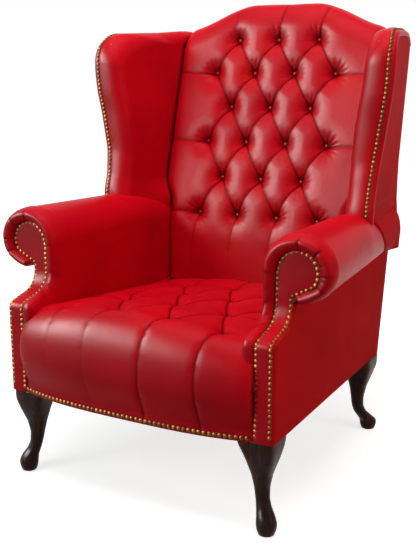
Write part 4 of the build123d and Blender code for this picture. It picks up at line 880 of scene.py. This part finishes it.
def wing_edge(count, low=595.0):
    """Nail line of the wing: up the front, round the top corner, back along the top and round
    the rear corner, where it is drawn in; with the outward direction in the side view."""
    z_front = np.linspace(low, CORNER_Z, int(count * 0.46))
    turn = np.linspace(0, math.pi / 2, int(count * 0.2))[1:]
    top = spline(np.array(WING_TOP)[None], count - len(z_front) - len(turn) + 1)[0, 1:]
    d = np.concatenate([nail_d(z_front), CORNER_D - CORNER * np.cos(turn), top[:, 0]])
    z = np.concatenate([z_front, CORNER_Z + CORNER * np.sin(turn), top[:, 1]])
    slope = np.stack([np.gradient(d), np.gradient(z)], -1)
    slope /= np.linalg.norm(slope, axis=1, keepdims=True)
    out = np.stack([-slope[:, 1], slope[:, 0]], -1)
    x = cover_x(d, z) - 12.0
    last = count // 16 + 1
    x[-last:] -= 10.0 * ease(np.arange(last), 0, last - 1) ** 2
    return x, d, z, out


def wing_face(depth, z):
    """Half width of the wing's inner face: that of the shoulder behind the rolled edge, then
    narrowing to the side of the inside back, and no further in behind the back's front. It is
    hollow by 2 mm on the way, a sine squared."""
    join_x = back_side(z, 291.5, 269.5)
    near_d = nail_d(z) + 20.0
    far_d = pillow_y(z) - FRONT + 8.0
    share = np.clip((depth - near_d) / (far_d - near_d), 0, 1)
    near_x = soft(z, [(600, 309), (747, 309), (838, 317), (901, 330), (950, 336), (1040, 342)], 30)
    return near_x + (join_x - near_x) * share - 2.0 * np.sin(math.pi * share) ** 2


def wing_pad(mirror):
    """Seen from the side, each cross curve is a straight line from the nail line to the joint
    with the inside back. Its first part is a quarter ellipse that rolls from the nail line round
    a soft shoulder on to the inner face; it swells 6 to 15 mm past the nail line on the way."""
    count = 170
    joint = [(0, 555), (0.46, 885), (0.66, 985), (0.8, 1024), (0.88, 1045), (0.94, 1049), (1, 1034)]
    rear_end = 861.0
    ex, ed, ez, out = wing_edge(count)
    walk = np.linspace(0, 1, count)
    join_z = soft(walk, joint, 0.03)
    join_d = pillow_y(np.minimum(join_z, 1046)) - FRONT + 8.0
    join_d = join_d + (rear_end - join_d[-1]) * ease(walk, 0.8, 1.0)
    run = np.stack([join_d - ed, join_z - ez], -1)
    length = np.linalg.norm(run, axis=1, keepdims=True)
    top = np.clip(out[:, 1:], 0, 1)
    depth = np.minimum(36.0 + 40.0 * top ** 1.5, 0.7 * length)
    turn = np.linspace(0, math.pi / 2, 44)[None, :]
    inward = depth * (1 - np.cos(turn) ** 0.9)
    rear = ease(ed, 640, 800)[:, None] * (1 - ease(ed, 835, 856))[:, None]
    swell = (9.0 - 3.0 * top + 9.0 * rear) * np.sin(2 * turn) ** 0.8 - 3.0 * (turn < 0.01)
    rest = np.linspace(0, 1, 61)[None, 1:]
    inward = np.concatenate([inward, depth + (length - depth) * rest], 1)
    swell = np.concatenate([swell, 0 * rest + 0 * length], 1)
    share = np.concatenate([np.sin(turn) ** 1.1, 1 + 0 * rest], 1)
    unit = run / length
    d = ed[:, None] + unit[:, :1] * inward + out[:, :1] * swell
    z = ez[:, None] + unit[:, 1:] * inward + out[:, 1:] * swell
    start_x = ex[:, None] - 5.0
    x = start_x + (wing_face(d, z) - start_x) * share
    close = np.clip(1 - (length - inward) / 14.0, 0, 1)
    x = x + 2.5 * (1 - np.sqrt(1 - 0.99 * close ** 2))
    points = np.stack([x, d + FRONT, z], -1)
    sunk = ease(walk, 0.72, 0.86)[:, None, None]
    last = points[:, -1:] + np.array([1.0, 24.0, -3.0]) - sunk * np.array([0.0, 24.0, 22.0])
    return make(on_side("wing", mirror), np.concatenate([points, last], 1), HIDE,
                inside=(352.0, 220.0, 850.0), thick=4.0, mirror=mirror)


def roll_x(depth, z):
    """Outer face of the arm roll at a depth and height, an ellipse about its middle."""
    outer, top, middle, crest = roll_at(depth)
    half = np.where(z > middle, top - middle, middle - ROLL_UNDER)
    share = np.clip(np.abs(z - middle) / half, 0, 1)
    return crest + (outer - crest) * np.sqrt(1 - share ** 2)


def outside_wing(mirror):
    """The lip turns from the nails round the edge on to the outer face, as a B-spline through
    five guides: distance in from the outer face, and distance back from the edge."""
    _, d, z, out = wing_edge(150, low=585.0)
    face_x = cover_x(d - out[:, 0] * 15.0, z - out[:, 1] * 15.0)
    guides = ((19.0, 0.0), (10.0, 0.0), (2.5, 1.5), (-0.5, 7.0), (0.0, 15.0))
    strip = spline(np.stack([np.stack([face_x - inset, d - out[:, 0] * back, z - out[:, 1] * back], -1)
                             for inset, back in guides], 1), 18)
    return make(on_side("wing_lip", mirror), strip + np.array([0, FRONT, 0]), HIDE,
                inside=(340.0, 220.0, 800.0), thick=3.0, mirror=mirror)


def outside_wing_face(mirror):
    """The outer face, in rows from the arm up to the top edge. Low down it laps over the arm's
    roll: its front edge swings back as it goes down, and is turned in on to the roll, but never
    further in than the frame. At the top it is tucked under the lip, and the rear edge is
    closed towards the outside back in four small steps."""
    low, lap, top, top_rise = 498.0, 600.0, 1038.0, 6.0
    turned_in, off_roll, proud = 14.0, 1.5, 5.0
    _, edge_d, edge_z, out = wing_edge(260, low=lap)
    rim_d, rim_z = edge_d - out[:, 0] * 14.0, edge_z - out[:, 1] * 14.0
    peak = int(np.argmax(rim_z))
    level = np.concatenate([np.linspace(low, lap, 40)[:-1], np.linspace(lap, top, 120)])
    seam = soft(level, [(498, 640), (515, 590), (540, 545), (560, 522), (580, 503), (608, 475),
                        (628, 455), (660, 455)], 8)
    blend = ease(level, 625, 655)
    front_d = seam * (1 - blend) + np.interp(level, rim_z[:peak], rim_d[:peak]) * blend
    front_d, level = front_d[:, None], level[:, None]
    share = np.linspace(0, 1, 64)[None, :]
    back_d = rear_y(level) - FRONT - 5.0
    d = front_d + (back_d - front_d) * share
    top_z = np.interp(d, rim_d[peak - 90:], rim_z[peak - 90:])
    z = level + top_rise * ease(level, 985, top) * ease(d, 540, 700)
    z = np.where(d > 600, np.minimum(z, top_z), z)
    under_lip = 3.0 * ease(z - top_z, -4.0, -0.5) * (d > 600)
    turned = np.clip((d - front_d) / turned_in, 0, 1)
    over_roll = roll_x(d, np.minimum(z, ROLL_TOP)) - off_roll + proud * np.sqrt(1 - (1 - turned) ** 2)
    lapped = ease(z, 612, 650)
    to_rear = ease(share, 0.3, 1.0)
    low_x = over_roll * (1 - to_rear) + np.maximum(over_roll, cover_rear_x(z)) * to_rear
    outer = cover_x(d, z)
    x = low_x * (1 - lapped) + outer * lapped
    inner_limit = outer - 3.0 - 45.0 * (1 - ease(z, 585, 612))
    x = np.maximum(x, inner_limit * ease(d - front_d, 2, 14))
    rear_x = x[:, -1:]
    close_x = [rear_x - 1.5, rear_x - 6.0, np.minimum(rear_x - 12.0, 330.0), 0 * rear_x + 318.0]
    x = np.concatenate([x - under_lip] + close_x, 1)
    d = np.concatenate([d] + [d[:, -1:] + step for step in (2.5, 4.5, 4.8, 4.8)], 1)
    z = np.concatenate([z] + 4 * [z[:, -1:]], 1)
    return make(on_side("outside_wing", mirror), np.stack([x, d + FRONT, z], -1), PANEL_HIDE,
                inside=(300.0, 200.0, 800.0), thick=3.0, mirror=mirror)


def wing_nails(mirror):
    """Domed nails, 9.5 mm wide, one every 10.7 mm along the lip's edge: rings of eight points
    on a flattened dome, each turned to face outwards."""
    x, d, z, out = wing_edge(900, low=614.0)
    steps = np.hypot(np.hypot(np.diff(x), np.diff(d)), np.diff(z))
    length = np.concatenate([[0], np.cumsum(steps)])
    count = int(length[-1] // NAIL_PITCH)
    at = np.arange(count) * NAIL_PITCH
    place = np.stack([np.interp(at, length, v) for v in (x - 2.0, d + FRONT, z)], -1)
    face = np.stack([0 * at] + [np.interp(at, length, out[:, k]) for k in (0, 1)], -1)
    face /= np.linalg.norm(face, axis=1, keepdims=True)
    side = np.array([1.0, 0, 0])
    third = np.cross(face, side)
    rings = [(4.75, -0.6), (4.6, 0.6), (3.3, 1.9), (1.4, 2.6)]
    turn = np.linspace(0, 2 * math.pi, 9)[:-1]
    rim = np.array([[r * math.cos(a), r * math.sin(a), h] for r, h in rings for a in turn])
    points = (place[:, None] + rim[None, :, :1] * side + rim[None, :, 1:2] * third[:, None]
              + rim[None, :, 2:] * face[:, None] + 0.8 * face[:, None])
    if mirror:
        points = points * np.array([-1.0, 1.0, 1.0])
    quads = [[r * 8 + a, r * 8 + (a + 1) % 8, r * 8 + 8 + (a + 1) % 8, r * 8 + 8 + a]
             for r in range(3) for a in range(8)] + [[24 + a for a in range(8)]]
    faces = [[q + 32 * n for q in quad] for n in range(count) for quad in quads]
    mesh = bpy.data.meshes.new("wing_nails")
    mesh.from_pydata((points.reshape(-1, 3) / 1000).tolist(), [], faces)
    turn_outwards(mesh)
    piece = show(on_side("nails_of_wing", mirror), mesh, BRASS)
    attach(piece, "root")
    return piece


# Cabriole legs from the top down: height and squareness of the section, then the share of the
# throw to the foot and the width, for the front leg and the rear one
LEG_LEVELS = (214, 200, 188, 165, 130, 100, 74, 57, 41, 27, 15, 7, 3)
SQUARENESS = (7, 6, 5, 3.6, 2.6, 2.2, 2, 2, 2, 2, 2, 2, 2)
FRONT_LEG = ((0, 0.03, 0.08, 0.14, 0.06, 0.08, 0.22, 0.48, 0.84, 1, 1, 1, 1),
             (78, 79, 77, 65, 45, 34, 31, 34, 41, 46, 44, 39, 34))
REAR_LEG = ((0, 0, 0.02, 0.02, -0.06, -0.1, -0.04, 0.18, 0.6, 0.98, 1, 1, 1),
            (78, 79, 77, 64, 44, 34, 31, 33, 39, 45, 44, 39, 34))


def leg(name, table, block, foot, mirror):
    """Rings of a superellipse, |x|^n + |y|^n = 1, threaded down an S curve from a square block
    at the rail, over the knee and the ankle, to a round pad foot. The block's two inner sides
    flare by 8 mm into small ears under the rails."""
    ear_size, pad_low, pad_high = 8.0, 3.0, 60.0
    table = np.array([LEG_LEVELS, *table, SQUARENESS], float).T[::-1]
    z = np.concatenate([np.linspace(pad_low, pad_high, 44), np.linspace(pad_high, LEG_HEIGHT, 64)[1:]])
    throw, width, square = (soft(z, table[:, (0, k)], 7.0) for k in (1, 2, 3))
    turn = np.linspace(0, 2 * math.pi, 65)[None, :-1]
    power = 2 / square[:, None]
    ring_x = np.sign(np.cos(turn)) * np.abs(np.cos(turn)) ** power
    ring_y = np.sign(np.sin(turn)) * np.abs(np.sin(turn)) ** power
    ear = ear_size * ease(z, 176, LEG_HEIGHT)[:, None] ** 1.5
    half = width[:, None] / 2
    middle = block + (foot - block) * throw[:, None]
    inner_y = 1.0 if block[1] < 0 else -1.0
    x = middle[:, :1] + half * ring_x - ear * np.clip(-ring_x, 0, 1)
    y = middle[:, 1:] + half * ring_y + inner_y * ear * np.clip(inner_y * ring_y, 0, 1)
    points = np.stack([x, y, z[:, None] + 0 * x], -1)
    return make(name, points, LEG_WOOD, closed=True, mirror=mirror)


piece = inside_back()
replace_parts(piece, "back_pad")
piece = seat()
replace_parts(piece, "seat_pad")
for mirrored, hand in ((False, "right"), (True, "left")):
    piece = arm(mirrored)
    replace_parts(piece, hand + "_arm_pad")
    piece = facing(mirrored)
    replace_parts(piece, hand + "_arm_facing")
    piece = outside_arm(mirrored)
    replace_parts(piece, hand + "_outside_arm_panel")
    piece = wing_pad(mirrored)
    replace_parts(piece, hand + "_wing_pad")
    outside_wing(mirrored)
    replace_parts(outside_wing_face(mirrored), hand + "_outside_wing_panel")
    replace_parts(wing_nails(mirrored), hand + "_wing_nails")
    for end, table, block, foot in (("front", FRONT_LEG, (302.3, -376.0), (322.3, -393.0)),
                                    ("rear", REAR_LEG, (302.3, 226.0), (322.3, 256.0))):
        piece = leg(f"{hand}_{end}_cabriole_leg", table, np.array(block), np.array(foot), mirrored)
        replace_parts(piece, f"{hand}_{end}_leg", f"{hand}_{end}_knee_brackets")


# Studio: a pale floor, three soft boxes, and two lamps that show only as highlights


def lamp(name, place, aim, size, power, colour="#FFFFFF"):
    """A square soft light that looks at a point."""
    data = bpy.data.lights.new(name, "AREA")
    data.size = size
    data.energy = power
    data.color = linear(colour)[:3]
    light = add_object(name, data)
    light.location = place
    light.rotation_euler = (Vector(aim) - Vector(place)).to_track_quat("-Z", "Y").to_euler()
    return light


lamp("overhead_softbox", (0.1, -0.4, 3.0), (0, 0, 0.5), 2.0, 70)
lamp("right_softbox", (3.0, -0.2, 1.3), (0, 0, 0.6), 1.6, 26, "#FFE2C4")
lamp("front_left_softbox", (-1.9, -3.2, 2.3), (0, 0, 0.6), 1.4, 34)
for name, place, size, power in (("front_left_strip", (-1.8, -3.2, 1.7), 1.0, 300),
                                 ("left_strip", (-2.9, -2.0, 2.0), 1.5, 900)):
    lamp(name, place, (0, 0, 0.6), size, power).visible_diffuse = False


def seen_white(tree):
    """1 for rays that show the surroundings: from the camera, mirrored or passed through."""
    rays = add(tree, "ShaderNodeLightPath")
    mask = rays.outputs["Is Camera Ray"]
    for kind in ("Is Glossy Ray", "Is Transmission Ray"):
        mask = add(tree, "ShaderNodeMath", {"operation": "MAXIMUM"}, i0=mask,
                   i1=rays.outputs[kind]).outputs[0]
    return mask


world = bpy.data.worlds.new("studio")
world.use_nodes = True
bpy.context.scene.world = world
tree = world.node_tree
tree.nodes.clear()
plain = add(tree, "ShaderNodeBackground", Color=linear("#FFFFFF"), Strength=0.22)
bright = add(tree, "ShaderNodeBackground", Color=linear("#FFFFFF"), Strength=1.0)
both = add(tree, "ShaderNodeMixShader", i0=seen_white(tree), i1=plain.outputs[0],
           i2=bright.outputs[0])
add(tree, "ShaderNodeOutputWorld", i0=both.outputs[0])

# the floor glows white to the camera, more so far from the chair, and keeps the shadow
floor_material, tree, place = new_material("pale_studio_floor")
reach = add(tree, "ShaderNodeVectorMath", {"operation": "LENGTH"}, i0=place)
level = add(tree, "ShaderNodeMapRange", Value=reach.outputs["Value"], From_Min=0.9, From_Max=2.2,
            To_Min=0.72, To_Max=1.0)
matt = add(tree, "ShaderNodeBsdfDiffuse", Color=linear("#8C8C8C"))
pale = add(tree, "ShaderNodeBsdfDiffuse", Color=linear("#D8D8D8"))
glow = add(tree, "ShaderNodeEmission", Color=linear("#FFFFFF"), Strength=level.outputs[0])
lit = add(tree, "ShaderNodeAddShader", i0=pale.outputs[0], i1=glow.outputs[0])
mix = add(tree, "ShaderNodeMixShader", i0=seen_white(tree), i1=matt.outputs[0], i2=lit.outputs[0])
add(tree, "ShaderNodeOutputMaterial", i0=mix.outputs[0])
turn = np.linspace(0, 2 * math.pi, 65)[:-1]
disc = np.stack([6.0 * np.cos(turn), 6.0 * np.sin(turn), 0 * turn], -1)
floor_mesh = bpy.data.meshes.new("floor")
floor_mesh.from_pydata(disc.tolist(), [], [list(range(64))])
floor_mesh.materials.append(floor_material)
floor = add_object("floor", floor_mesh)

camera_data = bpy.data.cameras.new("camera")
camera_data.sensor_width = 36.0
camera_data.lens = 58.86
camera = add_object("camera", camera_data)
camera.location = (1.0432, -1.9483, 0.9762)
camera.rotation_euler = (math.radians(76.77), 0.0, math.radians(29.01))
bpy.context.scene.camera = camera
bpy.context.scene.view_settings.view_transform = "Standard"
